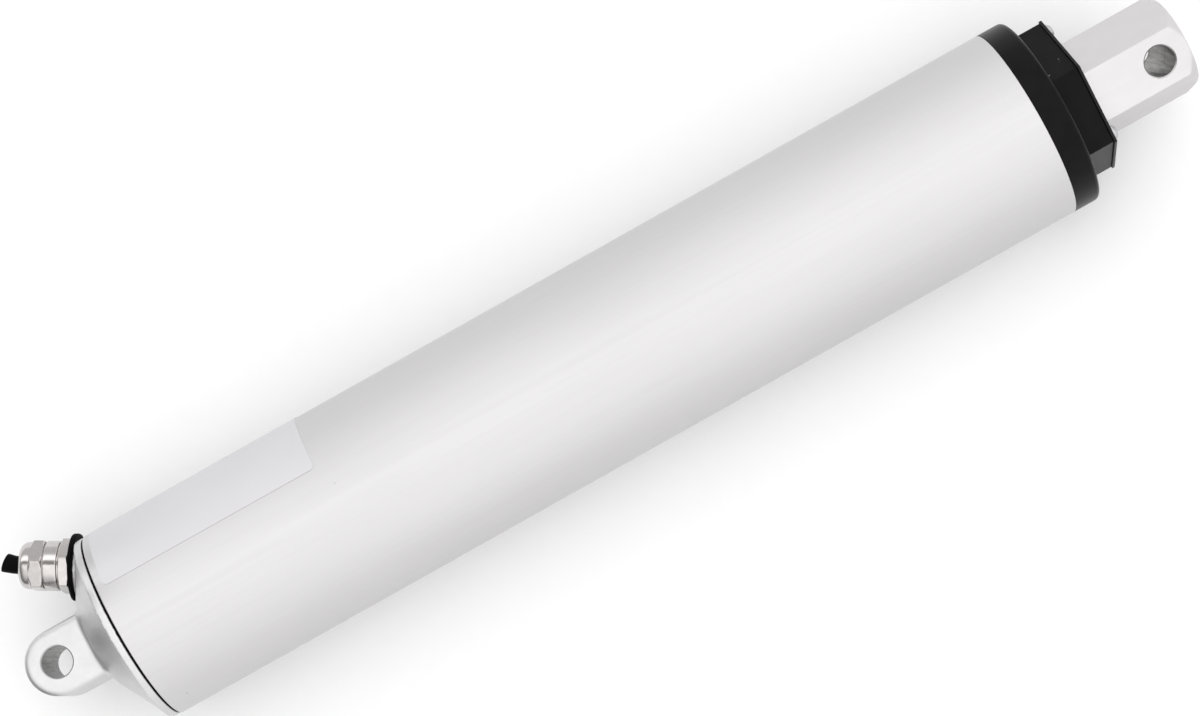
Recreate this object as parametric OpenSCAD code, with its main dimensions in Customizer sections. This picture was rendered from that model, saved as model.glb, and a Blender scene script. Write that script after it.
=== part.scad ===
// In-line electric linear actuator: a planetary gear motor and a lead screw in one round tube.
// The frame's origin is the centre of the rear eye, +X is the stroke direction, +Z is the rear
// pin's axis and +Y is the side of the cable gland. All sizes are in millimetres.

/* [Stroke] */
// Travel of the rod
stroke = 100; // [60:5:150]

/* [Tube] */
// Outer diameter of the tube
tube_d = 65; // [64.6:0.2:66]
// Wall thickness of the tube
tube_wall = 2.5; // [2.1:0.1:2.5]
// Thickness of the gasket between the rear cap and the tube
gasket_t = 0.7; // [0.5:0.1:1]

/* [Eyes] */
// Diameter of the two pin holes
pin_hole_d = 10.2; // [8.2:0.2:11.2]
// Width of the rear lug, across the pin
lug_w = 21.8; // [20:0.1:23]
// Thickness of the rear lug, along the pin
lug_t = 24; // [20:0.5:26]
// Bevel round the mouths of the pin holes
eye_bevel = 0.4; // [0.2:0.1:0.4]

/* [Rod and nose] */
// Distance across the flats of the rod
rod_af = 30; // [29:0.5:30]
// Turn of the screwed-in front end about the axis, against the rear pin
front_turn = 21; // [0:1:60]
// Distance across the flats of the black nose
nose_af = 46.3; // [45.5:0.1:47]
// Height of the black round ring at the front of the tube
front_ring_l = 9; // [7:0.5:12]
// Height of the black nose
nose_l = 9.8; // [8:0.1:11]

/* [Cable] */
// Outer diameter of the cable
cable_d = 5.8; // [5:0.1:6]
// Length of the cable beyond the gland's nut
cable_tail = 5.2; // [3:0.2:12]

/* [Colours] */
// Anodised tube
tube_colour = "#d9d9da"; // color
// Cast rear cap
cast_colour = "#c9c9cc"; // color
// Mouldings at the front
black_colour = "#1b1b1d"; // color

/* [Hidden] */
$fn = 64;
slack = 0.01;               // how far a cut runs past a face that something else lies on
over = 1;                   // how far a cut runs out into the open
bore_gap = 0.03;            // radial gap of a running shaft
tube_r = tube_d / 2;
bore_r = tube_r - tube_wall;
stack_r = bore_r - 0.2;     // outer radius of everything stacked in the tube
eye_r = pin_hole_d / 2;

// Rear cap, along X
cap_face_x = 12.3;          // flat end that the lug grows from
cap_face_r = 14.3;
cone_end_x = 22;
cone_end_r = tube_r - 1.2;
band_l = 2.6;               // straight bright band at the foot of the cone
band_r = tube_r - 0.2;
cap_wall = 5;
cap_edge = 0.3;             // bevels on the band
lug_root_l = 1.5;           // how deep the lug runs into the cone
spigot_r = bore_r - 0.1;
spigot_wall = 3.5;
flange_x = cone_end_x + band_l;
tube_x = flange_x + gasket_t;

// The stack in the tube, each length along X
rear_spigot_l = 12.7;
bell_l = 8;
can_l = 82;
motor_flange_l = 6;
ring_gear_l = 26;
block_l = 36;
sleeve_l = stroke + 43.7;
guide_flange_l = 4;
front_spigot_l = 11.3;
bell_x = tube_x + rear_spigot_l;
can_x = bell_x + bell_l;
motor_flange_x = can_x + can_l;
ring_gear_x = motor_flange_x + motor_flange_l;
block_x = ring_gear_x + ring_gear_l;
sleeve_x = block_x + block_l;
guide_flange_x = sleeve_x + sleeve_l;
front_spigot_x = guide_flange_x + guide_flange_l;
tube_end_x = front_spigot_x + front_spigot_l;
nose_x = tube_end_x + front_ring_l;
cover_x = nose_x + nose_l;
cover_t = 1;
cover_af = nose_af + 1.1;

// Seals
o_ring_r = 0.95;
o_ring_mid_r = bore_r - 0.05 - o_ring_r;
o_groove_r = bore_r - 2;
o_groove_l = 2.4;
rear_groove_x = tube_x + 7.7;
front_groove_x = front_spigot_x + 5;

// Cable gland: its axis leaves the cone square to the surface
gland_x = 18.45;
gland_y = 25.17;
gland_tilt = 30;
gland_hole_r = 6;
gland_shank_r = 5.9;
gland_shank_l = 6;
washer_t = 1.9;
washer_r = 10.9;
spot_face_gap = 0.3;        // the cap is cut flat this far past the washer
gland_boss_r = 10.4;
gland_af = 16;
gland_flange_t = 3.5;
gland_groove_l = 0.5;
gland_groove_r = 7.2;
collar_r = 8.1;
collar_end = 10.7;
collar_step = 0.4;          // the collar stops this far short of the nut
neck_r = 6.8;
neck_end = 15;
seal_r = 5;
seal_start = 8;
dome_nut_af = 15.3;
dome_start = 15.9;
dome_end = 19.2;
dome_corner_r = 3.4;
dome_hole_r = 3.2;
gland_turn = 14;            // roll of the gland's hexagon about its own axis
nut_turn = 6;
cable_r = cable_d / 2;
core_r = 0.85;
core_mid_r = 1.37;
cable_inner_l = 9;          // jacket past the cone's surface, inside the cap
core_inner_l = 13;
stripped_l = 12;            // drawn as far as they are stripped, and a little into the jacket
cable_gap = 0.15;           // between the jacket and the gland's body

// Circuit board
board_x = tube_x + 8.7;
board_t = 1.6;
board_r = bore_r - 4.5;
post_r = 2.5;
post_mid_r = 19;
post_turn = -30;
board_screw_r = 1.2;
board_hole_r = 1.3;
motor_lead_r = 0.9;
motor_lead_hole_r = 1.1;

// Motor
shaft_r = 4;
bush_r = 7;
bell_plate_l = 4;
hub_r = 10;
can_inner_r = stack_r - 2.5;
magnet_r = 22.4;
magnet_l = 54;
magnet_span = 140;
core_l = 46;
core_outer_r = 21.6;
core_x = can_x + 18;
slots = 12;
slot_mid_r = 15.6;
slot_r = 3.3;
slot_mouth = 1.8;
winding_end_l = 6.5;
commutator_r = 9;
commutator_l = 8;
commutator_x = can_x + 2.5;
brush_w = 5;
brush_l = 6;
holder_w = 9;
holder_l = 15;
brush_h = 8;
brush_gap = 0.05;
shaft_start_x = bell_x + 3.5;

// Planetary stage, four turns in for one out
gear_m = 1;
sun_teeth = 15;
planet_teeth = 15;
ring_teeth = sun_teeth + 2 * planet_teeth;
pressure = 20;
centre_r = gear_m * (sun_teeth + planet_teeth) / 2;
backlash = 0.05;            // taken off each flank
gear_l = 12;
gear_x = ring_gear_x + 2;
ring_tooth_l = 15;
pin_r = 2.5;
carrier_r = 21.5;
carrier_l = 7;
carrier_x = ring_gear_x + 15.5;
carrier_hub_r = 10;
carrier_hub_l = 7;
sun_end_x = gear_x + gear_l + 0.5;
shaft_end_x = sun_end_x;

// Screw, its bearings and its nut
drive_af = 10;              // hexagon that joins the screw to the carrier
drive_gap = 0.03;           // on each flat of that hexagon
drive_x = carrier_x + carrier_l + 0.5;
journal_r = 6;
screw_r = 7;
bearing_x = block_x + 10;
bearing_l = 10;
race_l = bearing_l - 0.04;  // the two bearings' rings stay apart by this little
bearing_r = 16;
bearing_mid_r = 11;
race_inner_r = 8.5;
race_outer_r = 13.2;
ball_r = 2.98;
groove_r = 3.05;
balls = 7;
cage_t = 2;
cage_l = 6.4;
bearing_end_x = bearing_x + 2 * bearing_l;
collar_l = 4;
clip_l = 1.4;
clip_depth = 1.2;           // how deep the clip sits in the block
locknut_x = block_x + 4;
locknut_r = 9;
block_rear_r = 13;
block_front_r = 13.6;
block_waist_x = block_x + 12;
block_waist_l = 12;
block_waist_r = stack_r - 4;
buffer_t = 3;
nut_x = sleeve_x + 4.5;
nut_flange_l = 3.5;
nut_flange_r = 14;
nut_r = 11.5;
nut_l = 35.5;
piston_x = nut_x + nut_flange_l;
piston_l = 14;
piston_r = bore_r - 2.8;
piston_magnet_x = piston_x + 5;
piston_magnet_l = 4;
piston_magnet_r = 22;
rod_x = piston_x + piston_l;
rod_socket_x = nut_x + nut_l;
rod_bore_r = 8;
rod_eye_x = tube_end_x + 45;
rod_end_x = rod_eye_x + 10.5;
rod_bore_end_x = rod_eye_x - 50;
rod_corner_r = rod_af / sqrt(3);
rod_face_r = 14.9;
rod_bevel_l = 3.5;
screw_end_x = nut_x + nut_l + stroke + 7;
screw_bush_l = 5;
screw_bush_r = rod_bore_r - 0.1;
screw_tip_r = 5;
shoulder_r = race_inner_r - 0.2;    // what clamps the inner rings

// Sleeve, guide and wiper
sleeve_wall = 2.3;
sleeve_bore_r = stack_r - sleeve_wall;
front_buffer_t = 2.5;
guide_x = guide_flange_x - 18.5;
guide_r = sleeve_bore_r - 0.2;
guide_nose_r = 20.4;
guide_gap = 0.1;            // on each flat of the rod
cover_gap = 0.5;            // the same, in the cover plate
wiper_l = 2.7;
wiper_x = cover_x - wiper_l;

// Limit sensors and their lead, in a groove along the stack on the side opposite the gland
lead_r = 0.8;
lead_groove_r = 1;
lead_mid_r = stack_r - 0.8;
lead_board_r = 23;
sensor_l = 12;
sensor_w = 3.5;
sensor_t = 0.9;
sensor_r = stack_r - 1.8;
sensor_z = 1;               // the sensors lie beside the lead
sensor_gap = 0.2;           // at each end of a sensor's pocket
rear_sensor_x = sleeve_x + 14;
front_sensor_x = rear_sensor_x + stroke;

// Cover screws
cover_screw_mid_r = 22.8;
cover_screw_r = 1.5;
cover_screw_l = 7;
cover_head_r = 2.5;
cover_head_l = 1.8;

// Rating label, a blank foil on the tube
label_x = tube_x + 2.6;
label_l = 75.6;
label_t = 0.12;
label_start = 20.4;         // angles about +X from +Z towards +Y
label_end = 119;

// ---------- shapes that repeat ----------

// Lays a shape drawn along +Z on the X axis, starting at x
module on_x(x) {
    translate([x, 0, 0]) rotate([0, 90, 0]) children();
}

// A solid round bar along X
module bar(x, l, r) {
    on_x(x) cylinder(h = l, r = r);
}

// A round ring along X
module ring(x, l, r_out, r_in) {
    on_x(x) difference() {
        cylinder(h = l, r = r_out);
        translate([0, 0, -slack]) cylinder(h = l + 2 * slack, r = r_in);
    }
}

// A shape turned about X from points [radius, x]
module turned(points) {
    rotate([0, 90, 0]) rotate_extrude() polygon(points);
}

// A hexagonal bar along X with flats square to the front eye's axis
module hexagon(x, l, af) {
    on_x(x) rotate(30) cylinder(h = l, r = af / sqrt(3), $fn = 6);
}

// Everything at the front is turned about the axis by the same angle
module front_frame() {
    rotate([front_turn, 0, 0]) children();
}

// The gland's own frame: +Z leaves the cap square to its cone
module gland_frame() {
    translate([gland_x, gland_y, 0]) rotate([0, 0, -gland_tilt]) rotate([0, -90, 0]) children();
}

// Repeats a shape n times about X
module around_x(n, start = 0) {
    for (i = [0:n - 1]) rotate([start + 360 * i / n, 0, 0]) children();
}

// Groove for the sensor lead, along the outside of the stacked pieces
module lead_groove(x, l) {
    translate([0, -lead_mid_r, 0]) bar(x - slack, l + 2 * slack, lead_groove_r);
    translate([x - slack, -stack_r - over, -lead_groove_r])
        cube([l + 2 * slack, stack_r + over - lead_mid_r, 2 * lead_groove_r]);
}

// A round rubber ring
module o_ring(x) {
    on_x(x) rotate_extrude() translate([o_ring_mid_r, 0]) circle(r = o_ring_r, $fn = 32);
}

// ---------- involute gears ----------

function involute(a) = tan(a) * 180 / PI - a;

// Half the angle of a tooth at radius r; trim is the backlash at the pitch circle, in mm
function half_tooth(r, teeth, trim) =
    let (pitch_r = gear_m * teeth / 2)
    let (base_r = pitch_r * cos(pressure))
    let (a = r > base_r ? acos(base_r / r) : 0)
    90 / teeth - trim / pitch_r * 180 / PI + involute(pressure) - involute(a);

// Outline of a gear: each tooth goes up one flank through the radii and down the other
function gear_outline(teeth, radii, trim) = [
    for (t = [0:teeth - 1])
        for (side = [-1, 1])
            for (k = [0:len(radii) - 1])
                let (r = side < 0 ? radii[k] : radii[len(radii) - 1 - k])
                let (a = 360 * t / teeth + side * half_tooth(r, teeth, trim))
                [r * cos(a), r * sin(a)]
];

function flank_radii(teeth, root, tip) =
    let (pitch_r = gear_m * teeth / 2)
    let (low = max(pitch_r - root, pitch_r * cos(pressure)))
    concat(pitch_r - root < low ? [pitch_r - root] : [],
        [for (k = [0:3]) low + (pitch_r + tip - low) * k / 3]);

module spur_gear(teeth, hole_r) {
    difference() {
        linear_extrude(gear_l) polygon(gear_outline(teeth,
            flank_radii(teeth, 1.25 * gear_m, gear_m), backlash));
        translate([0, 0, -slack]) cylinder(h = gear_l + 2 * slack, r = hole_r);
    }
}

// ---------- rear cap and cable ----------

module cap_outside() {
    turned([
        [0, cap_face_x - 2], [cap_face_r - 1, cap_face_x], [cap_face_r, cap_face_x],
        [cone_end_r, cone_end_x], [band_r - cap_edge, cone_end_x], [band_r, cone_end_x + cap_edge],
        [band_r, flange_x - cap_edge], [band_r - cap_edge, flange_x],
        [spigot_r, flange_x], [spigot_r, bell_x], [0, bell_x]
    ]);
}

module cap_cavity() {
    cavity_r = spigot_r - spigot_wall;
    floor_x = cap_face_x + cap_wall * 0.9;
    slope = (cone_end_x - cap_face_x) / (cone_end_r - cap_face_r);
    turned([
        [0, floor_x], [cap_face_r - 2.5, floor_x],
        [cavity_r, floor_x + (cavity_r - cap_face_r + 2.5) * slope],
        [cavity_r, bell_x + slack], [0, bell_x + slack]
    ]);
}

// Flat seat that the gland's washer lies on
module gland_boss() {
    intersection() {
        gland_frame() translate([0, 0, -cap_wall]) cylinder(h = cap_wall, r = gland_boss_r);
        bar(cap_face_x, flange_x - cap_face_x, cone_end_r);
    }
}

module lug() {
    lug_r = lug_w / 2;
    translate([0, 0, -lug_t / 2]) {
        cylinder(h = lug_t, r = lug_r);
        translate([0, -lug_r, 0]) cube([cap_face_x + lug_root_l, lug_w, lug_t]);
    }
}

module rear_cap() color(cast_colour) {
    difference() {
        union() {
            cap_outside();
            gland_boss();
            lug();
        }
        cap_cavity();
        translate([0, 0, -lug_t]) cylinder(h = 2 * lug_t, r = eye_r);
        for (side = [-1, 1]) scale([1, 1, side])
            translate([0, 0, lug_t / 2 - eye_bevel])
                cylinder(h = eye_bevel + slack, r1 = eye_r, r2 = eye_r + eye_bevel + slack);
        gland_frame() translate([0, 0, -3 * cap_wall]) cylinder(h = 4 * cap_wall, r = gland_hole_r);
        gland_frame() cylinder(h = 2 * washer_t, r = washer_r + spot_face_gap);
        ring(rear_groove_x, o_groove_l, bore_r + over, o_groove_r);
    }
}

module rear_gasket() color("black") {
    ring(flange_x, gasket_t, band_r - 0.4, spigot_r);
}

module rear_o_ring() color("black") {
    o_ring(rear_groove_x + o_groove_l / 2);
}

module gland_washer() color("black") {
    gland_frame() difference() {
        cylinder(h = washer_t, r = washer_r);
        translate([0, 0, -slack]) cylinder(h = washer_t + 2 * slack, r = gland_hole_r);
    }
}

module gland_body() color("silver") {
    flange_end = washer_t + gland_flange_t;
    gland_frame() difference() {
        union() {
            translate([0, 0, -gland_shank_l]) cylinder(h = gland_shank_l + washer_t, r = gland_shank_r);
            translate([0, 0, washer_t]) rotate(gland_turn)
                cylinder(h = gland_flange_t, r = gland_af / sqrt(3), $fn = 6);
            rotate_extrude() polygon([
                [0, washer_t], [gland_groove_r, washer_t], [gland_groove_r, flange_end + gland_groove_l],
                [collar_r, flange_end + gland_groove_l], [collar_r, collar_end - collar_step],
                [gland_groove_r, collar_end - collar_step], [gland_groove_r, collar_end],
                [neck_r, collar_end], [neck_r, neck_end], [0, neck_end]
            ]);
        }
        translate([0, 0, -gland_shank_l - slack]) cylinder(h = 2 * neck_end, r = cable_r + cable_gap);
        translate([0, 0, seal_start]) cylinder(h = neck_end, r = seal_r);
    }
}

module gland_seal() color("dimgray") {
    gland_frame() translate([0, 0, seal_start]) difference() {
        cylinder(h = neck_end - seal_start + 0.5, r = seal_r);
        translate([0, 0, -slack]) cylinder(h = neck_end, r = cable_r);
    }
}

// The dome is a turned shape, so the hexagon runs out under its round shoulder
module gland_nut() color("silver") {
    corner = dome_nut_af / sqrt(3);
    shoulder_r = dome_nut_af / 2;
    gland_frame() difference() {
        rotate(nut_turn) intersection() {
            translate([0, 0, collar_end]) cylinder(h = dome_end - collar_end, r = corner, $fn = 6);
            rotate_extrude() {
                square([corner, dome_start]);
                translate([0, dome_start - slack])
                    square([corner - dome_corner_r, dome_end - dome_start + slack]);
                translate([corner - dome_corner_r, dome_start]) intersection() {
                    circle(r = dome_corner_r - 0.1, $fn = 48);
                    square([dome_corner_r, dome_corner_r]);
                }
            }
        }
        translate([0, 0, collar_end - slack]) cylinder(h = neck_end + 0.6 - collar_end, r = neck_r);
        translate([0, 0, neck_end + 0.5]) cylinder(h = 2.4, r1 = neck_r, r2 = dome_hole_r);
        cylinder(h = 2 * dome_end, r = dome_hole_r);
    }
}

// Repeats a shape at the four cores, in the gland's frame, from the depth where they end
module at_cores() {
    gland_frame() for (side = [45:90:315]) rotate(side)
        translate([core_mid_r, 0, -core_inner_l]) children();
}

module cable_jacket() color("black") {
    difference() {
        gland_frame() translate([0, 0, -cable_inner_l])
            cylinder(h = cable_inner_l + dome_end + cable_tail, r = cable_r);
        at_cores() cylinder(h = stripped_l, r = core_r);
    }
}

module cable_cores() color("peru") {
    at_cores() cylinder(h = stripped_l, r = core_r);
}

// ---------- circuit board and leads ----------

module terminal_block() color("darkgreen") {
    block_w = 10;
    block_l = 14;
    block_h = 3.5;
    difference() {
        translate([board_x - block_h, 13, -block_l / 2]) cube([block_h, block_w, block_l]);
        gland_frame() translate([0, 0, -core_inner_l - 0.5])
            cylinder(h = core_inner_l, r = core_mid_r + core_r + 0.3);
    }
}

// Angles about X of the board's three posts
function post_angles() = [for (i = [0:2]) post_turn + 120 * i];

module circuit_board() color("seagreen") {
    difference() {
        bar(board_x, board_t, board_r);
        for (a = post_angles()) rotate([a, 0, 0]) translate([0, 0, post_mid_r])
            bar(board_x - slack, board_t + 2 * slack, board_hole_r);
    }
}

module board_screws() color("silver") {
    head_l = 1.5;
    head_r = 2.2;
    shank_l = 5;
    for (a = post_angles()) rotate([a, 0, 0]) translate([0, 0, post_mid_r]) {
        bar(board_x - head_l, head_l, head_r);
        bar(board_x - slack, shank_l, board_screw_r);
    }
}

// Places for the two motor leads, beside the brush holders
module at_motor_leads() {
    for (side = [-1, 1]) translate([0, 2.5 * side, 18 * side]) children();
}

module motor_leads() color("firebrick") {
    lead_x = board_x + board_t;
    at_motor_leads() bar(lead_x, bell_x + bell_plate_l - lead_x, motor_lead_r);
}

module sensor_lead() color("gray") {
    turn_x = bell_x + 1.2;
    start_x = board_x + board_t;
    translate([0, -lead_board_r, 0]) bar(start_x, turn_x - start_x, lead_r);
    translate([turn_x, -lead_board_r, 0]) sphere(r = lead_r, $fn = 32);
    translate([turn_x, -lead_board_r, 0]) rotate([90, 0, 0])
        cylinder(h = lead_mid_r - lead_board_r, r = lead_r);
    translate([turn_x, -lead_mid_r, 0]) sphere(r = lead_r, $fn = 32);
    translate([0, -lead_mid_r, 0]) bar(turn_x, front_sensor_x - turn_x, lead_r);
}

module limit_sensors() color("darkslategray") {
    for (x = [rear_sensor_x, front_sensor_x])
        translate([x, -sensor_r - sensor_t, sensor_z]) cube([sensor_l, sensor_t, sensor_w]);
}

// ---------- motor ----------

module motor_end_bell() color("gainsboro") {
    pocket_x = bell_x + 2.5;
    screw_hole_l = 5;
    notch_l = 2.4;
    notch_r = lead_groove_r + 0.1;
    difference() {
        union() {
            bar(bell_x, bell_plate_l, stack_r);
            bar(bell_x, bell_l - 1, hub_r);
            ring(bell_x, bell_l, stack_r, can_inner_r - 1.5);
            for (a = post_angles()) rotate([a, 0, 0]) translate([0, 0, post_mid_r])
                bar(board_x + board_t, bell_x - board_x - board_t + slack, post_r);
        }
        bar(pocket_x, bell_l, bush_r);
        for (a = post_angles()) rotate([a, 0, 0]) translate([0, 0, post_mid_r])
            bar(board_x, screw_hole_l, board_screw_r);
        at_motor_leads() bar(bell_x - over, bell_plate_l + 2 * over, motor_lead_hole_r);
        translate([bell_x - slack, -stack_r - over, -notch_r])
            cube([notch_l, stack_r + 2 * over - lead_board_r + lead_groove_r, 2 * notch_r]);
        lead_groove(bell_x, bell_l);
    }
}

// Repeats a shape above and below the commutator
module at_brushes() {
    for (side = [0, 180]) rotate([side, 0, 0])
        translate([commutator_x + commutator_l / 2, 0, 0]) children();
}

module brush_holders() color("saddlebrown") {
    foot_x = bell_x + bell_plate_l - commutator_x - commutator_l / 2;
    foot_r = commutator_r + 1.2;
    holder_wall = 1.5;
    holder_roof = 2;
    at_brushes() difference() {
        translate([foot_x, -holder_w / 2, foot_r])
            cube([brush_l / 2 + holder_wall - foot_x, holder_w, holder_l]);
        translate([-brush_l / 2 - brush_gap, -brush_w / 2 - brush_gap, 0])
            cube([brush_l + 2 * brush_gap, brush_w + 2 * brush_gap, foot_r + holder_l - holder_roof]);
    }
}

module brushes() color("dimgray") {
    worn_h = 1.5;               // what the commutator's curve takes out
    at_brushes() difference() {
        translate([-brush_l / 2, -brush_w / 2, commutator_r - worn_h])
            cube([brush_l, brush_w, brush_h + worn_h]);
        bar(-brush_l, 2 * brush_l, commutator_r + brush_gap);
    }
}

// Close-wound coils, drawn as a stack of wire rings
module brush_springs() color("goldenrod") {
    wire_r = 0.5;
    coil_r = 1.7;
    turns = 6;
    pitch = 0.98;
    at_brushes() translate([0, 0, commutator_r + brush_h + wire_r])
        for (i = [0:turns - 1]) translate([0, 0, i * pitch])
            rotate_extrude($fn = 32) translate([coil_r, 0]) circle(r = wire_r, $fn = 16);
}

module motor_can() color("silver") {
    difference() {
        ring(can_x, can_l, stack_r, can_inner_r);
        lead_groove(can_x, can_l);
    }
}

module magnets() color("dimgray") {
    magnet_x = core_x + (core_l - magnet_l) / 2;
    for (side = [0, 180]) rotate([side - magnet_span / 2, 0, 0]) on_x(magnet_x)
        rotate(180) rotate_extrude(angle = magnet_span)
            translate([magnet_r, 0]) square([can_inner_r - magnet_r, magnet_l]);
}

module motor_flange() color("silver") {
    difference() {
        ring(motor_flange_x, motor_flange_l, stack_r, bush_r);
        lead_groove(motor_flange_x, motor_flange_l);
    }
}

module motor_bushes() color("peru") {
    ring(bell_x + 3, bell_l - 4, bush_r, shaft_r + bore_gap);
    ring(motor_flange_x, motor_flange_l, bush_r, shaft_r + bore_gap);
}

module rotor_shaft() color("silver") {
    bar(shaft_start_x, shaft_end_x - shaft_start_x, shaft_r);
}

module rotor_core() color("slategray") {
    difference() {
        ring(core_x, core_l, core_outer_r, shaft_r);
        around_x(slots) {
            translate([0, 0, slot_mid_r]) bar(core_x - slack, core_l + 2 * slack, slot_r);
            translate([core_x - slack, -slot_mouth / 2, slot_mid_r])
                cube([core_l + 2 * slack, slot_mouth, core_outer_r]);
        }
    }
}

module rotor_windings() color("darkorange") {
    wire_r = slot_r - 0.05;
    bundle_x = core_x - winding_end_l / 2;
    around_x(slots) translate([0, 0, slot_mid_r])
        bar(bundle_x, core_l + winding_end_l, wire_r);
    for (x = [core_x - winding_end_l, core_x + core_l])
        ring(x, winding_end_l, slot_mid_r + wire_r + 0.5, slot_mid_r - wire_r - 1.5);
}

module commutator() color("chocolate") {
    bars = 12;
    gap = 0.5;
    gap_depth = 1;
    difference() {
        ring(commutator_x, commutator_l, commutator_r, shaft_r);
        around_x(bars, 180 / bars) translate([commutator_x - slack, -gap / 2, commutator_r - gap_depth])
            cube([commutator_l + 2 * slack, gap, gap_depth + over]);
    }
}

// ---------- planetary stage ----------

module sun_gear() color("silver") {
    on_x(gear_x) spur_gear(sun_teeth, shaft_r);
}

// The sun has a tooth at angle 0, so a planet there shows it a gap
module planet_gear(index) color("darkgray") {
    rotate([120 * index, 0, 0]) on_x(gear_x)
        translate([centre_r, 0, 0]) spur_gear(planet_teeth, pin_r + bore_gap);
}

module ring_gear() color("lightsteelblue") {
    difference() {
        ring(ring_gear_x, ring_gear_l, stack_r, 0.4 * stack_r);
        on_x(ring_gear_x - slack) linear_extrude(ring_tooth_l + 2 * slack)
            polygon(gear_outline(ring_teeth,
                flank_radii(ring_teeth, 0.7 * gear_m, 1.25 * gear_m), -backlash));
        bar(ring_gear_x + ring_tooth_l, ring_gear_l, gear_m * ring_teeth / 2 + 1.5);
        lead_groove(ring_gear_x, ring_gear_l);
    }
}

module planet_carrier() color("gray") {
    difference() {
        union() {
            bar(carrier_x, carrier_l, carrier_r);
            bar(carrier_x + carrier_l - slack, carrier_hub_l, carrier_hub_r);
        }
        hexagon(drive_x, carrier_hub_l + over, drive_af + 2 * drive_gap);
        for (i = [0:2]) rotate([120 * i, 0, 0]) translate([0, 0, -centre_r])
            bar(carrier_x - slack, carrier_l + 2 * slack, pin_r);
    }
}

module planet_pins() color("silver") {
    for (i = [0:2]) rotate([120 * i, 0, 0]) translate([0, 0, -centre_r])
        bar(gear_x - 0.5, carrier_x + carrier_l - gear_x + 0.5, pin_r);
}

// ---------- screw and bearings ----------

module bearing_block() color("lightgray") {
    difference() {
        bar(block_x, block_l, stack_r);
        bar(block_x - slack, block_l, block_rear_r);
        bar(bearing_x, 2 * bearing_l, bearing_r);
        bar(bearing_end_x - slack, block_l, block_front_r);
        bar(bearing_x - clip_l, clip_l + slack, bearing_r + clip_depth);
        lead_groove(block_x, block_l);
        ring(block_waist_x, block_waist_l, bore_r + over, block_waist_r);
    }
}

module bearing_clip() color("dimgray") {
    clip_gap = 6;
    difference() {
        ring(bearing_x - clip_l, clip_l, bearing_r + clip_depth, block_rear_r - 0.5);
        translate([bearing_x - 2 * clip_l, -clip_gap / 2, 0]) cube([3 * clip_l, clip_gap, 2 * bearing_r]);
    }
}

// Middles of the two bearings along X
function bearing_mids() = [bearing_x + bearing_l / 2, bearing_x + 1.5 * bearing_l];

module race_groove(x) {
    on_x(x) rotate_extrude() translate([bearing_mid_r, 0]) circle(r = groove_r, $fn = 48);
}

module bearing_outer_rings() color("silver") {
    for (x = bearing_mids()) difference() {
        ring(x - race_l / 2, race_l, bearing_r, race_outer_r);
        race_groove(x);
    }
}

module bearing_inner_rings() color("silver") {
    for (x = bearing_mids()) difference() {
        ring(x - race_l / 2, race_l, race_inner_r, journal_r);
        race_groove(x);
    }
}

module at_balls(x) {
    around_x(balls) translate([x, 0, bearing_mid_r]) children();
}

module bearing_balls() color("gainsboro") {
    for (x = bearing_mids()) at_balls(x) sphere(r = ball_r);
}

module bearing_cages() color("tan") {
    for (x = bearing_mids()) difference() {
        ring(x - cage_l / 2 - 0.6, cage_l + 1.2, bearing_mid_r + cage_t / 2, bearing_mid_r - cage_t / 2);
        at_balls(x) sphere(r = groove_r);
    }
}

module screw_locknut() color("dimgray") {
    turned([
        [journal_r, locknut_x], [locknut_r, locknut_x], [locknut_r, bearing_x - 1],
        [shoulder_r, bearing_x - 1], [shoulder_r, bearing_x], [journal_r, bearing_x]
    ]);
}

// The thread is drawn as its outside diameter
module lead_screw() color("silver") {
    hexagon(drive_x, carrier_hub_l - 0.5, drive_af);
    turned([
        [0, drive_x + carrier_hub_l - 1], [journal_r - 1, drive_x + carrier_hub_l - 1],
        [journal_r, drive_x + carrier_hub_l], [journal_r, bearing_end_x],
        [shoulder_r, bearing_end_x], [shoulder_r, bearing_end_x + collar_l],
        [screw_r, bearing_end_x + collar_l], [screw_r, screw_end_x - screw_bush_l],
        [screw_tip_r, screw_end_x - screw_bush_l], [screw_tip_r, screw_end_x], [0, screw_end_x]
    ]);
}

module screw_end_bush() color("white") {
    ring(screw_end_x - screw_bush_l, screw_bush_l, screw_bush_r, screw_tip_r);
}

// ---------- nut, piston and rod ----------

module drive_nut() color("darkgoldenrod") {
    difference() {
        union() {
            bar(nut_x, nut_flange_l, nut_flange_r);
            bar(nut_x, nut_l, nut_r);
        }
        bar(nut_x - slack, nut_l + 2 * slack, screw_r + 0.05);
    }
}

module piston() color("ivory") {
    difference() {
        ring(piston_x, piston_l, piston_r, nut_r);
        ring(piston_magnet_x, piston_magnet_l, piston_r + over, piston_magnet_r);
    }
}

module piston_magnet() color("dimgray") {
    ring(piston_magnet_x, piston_magnet_l, piston_r - 0.2, piston_magnet_r);
}

module rod() color(tube_colour) {
    front_frame() difference() {
        intersection() {
            hexagon(rod_x, rod_end_x - rod_x, rod_af);
            turned([
                [0, rod_x], [rod_corner_r + over, rod_x],
                [rod_corner_r + over, rod_end_x - rod_bevel_l - over],
                [rod_corner_r, rod_end_x - rod_bevel_l], [rod_face_r, rod_end_x], [0, rod_end_x]
            ]);
        }
        bar(rod_x - slack, rod_socket_x - rod_x + slack, nut_r);
        bar(rod_x, rod_bore_end_x - rod_x, rod_bore_r);
        translate([rod_eye_x, 0, -rod_af]) cylinder(h = 2 * rod_af, r = eye_r);
        for (side = [-1, 1]) scale([1, 1, side])
            translate([rod_eye_x, 0, rod_af / 2 - eye_bevel])
                cylinder(h = eye_bevel + slack, r1 = eye_r, r2 = eye_r + eye_bevel + slack);
    }
}

// ---------- front end ----------

module rear_buffer() color("black") {
    ring(sleeve_x, buffer_t, nut_flange_r + 2, screw_r + 3);
}

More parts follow.
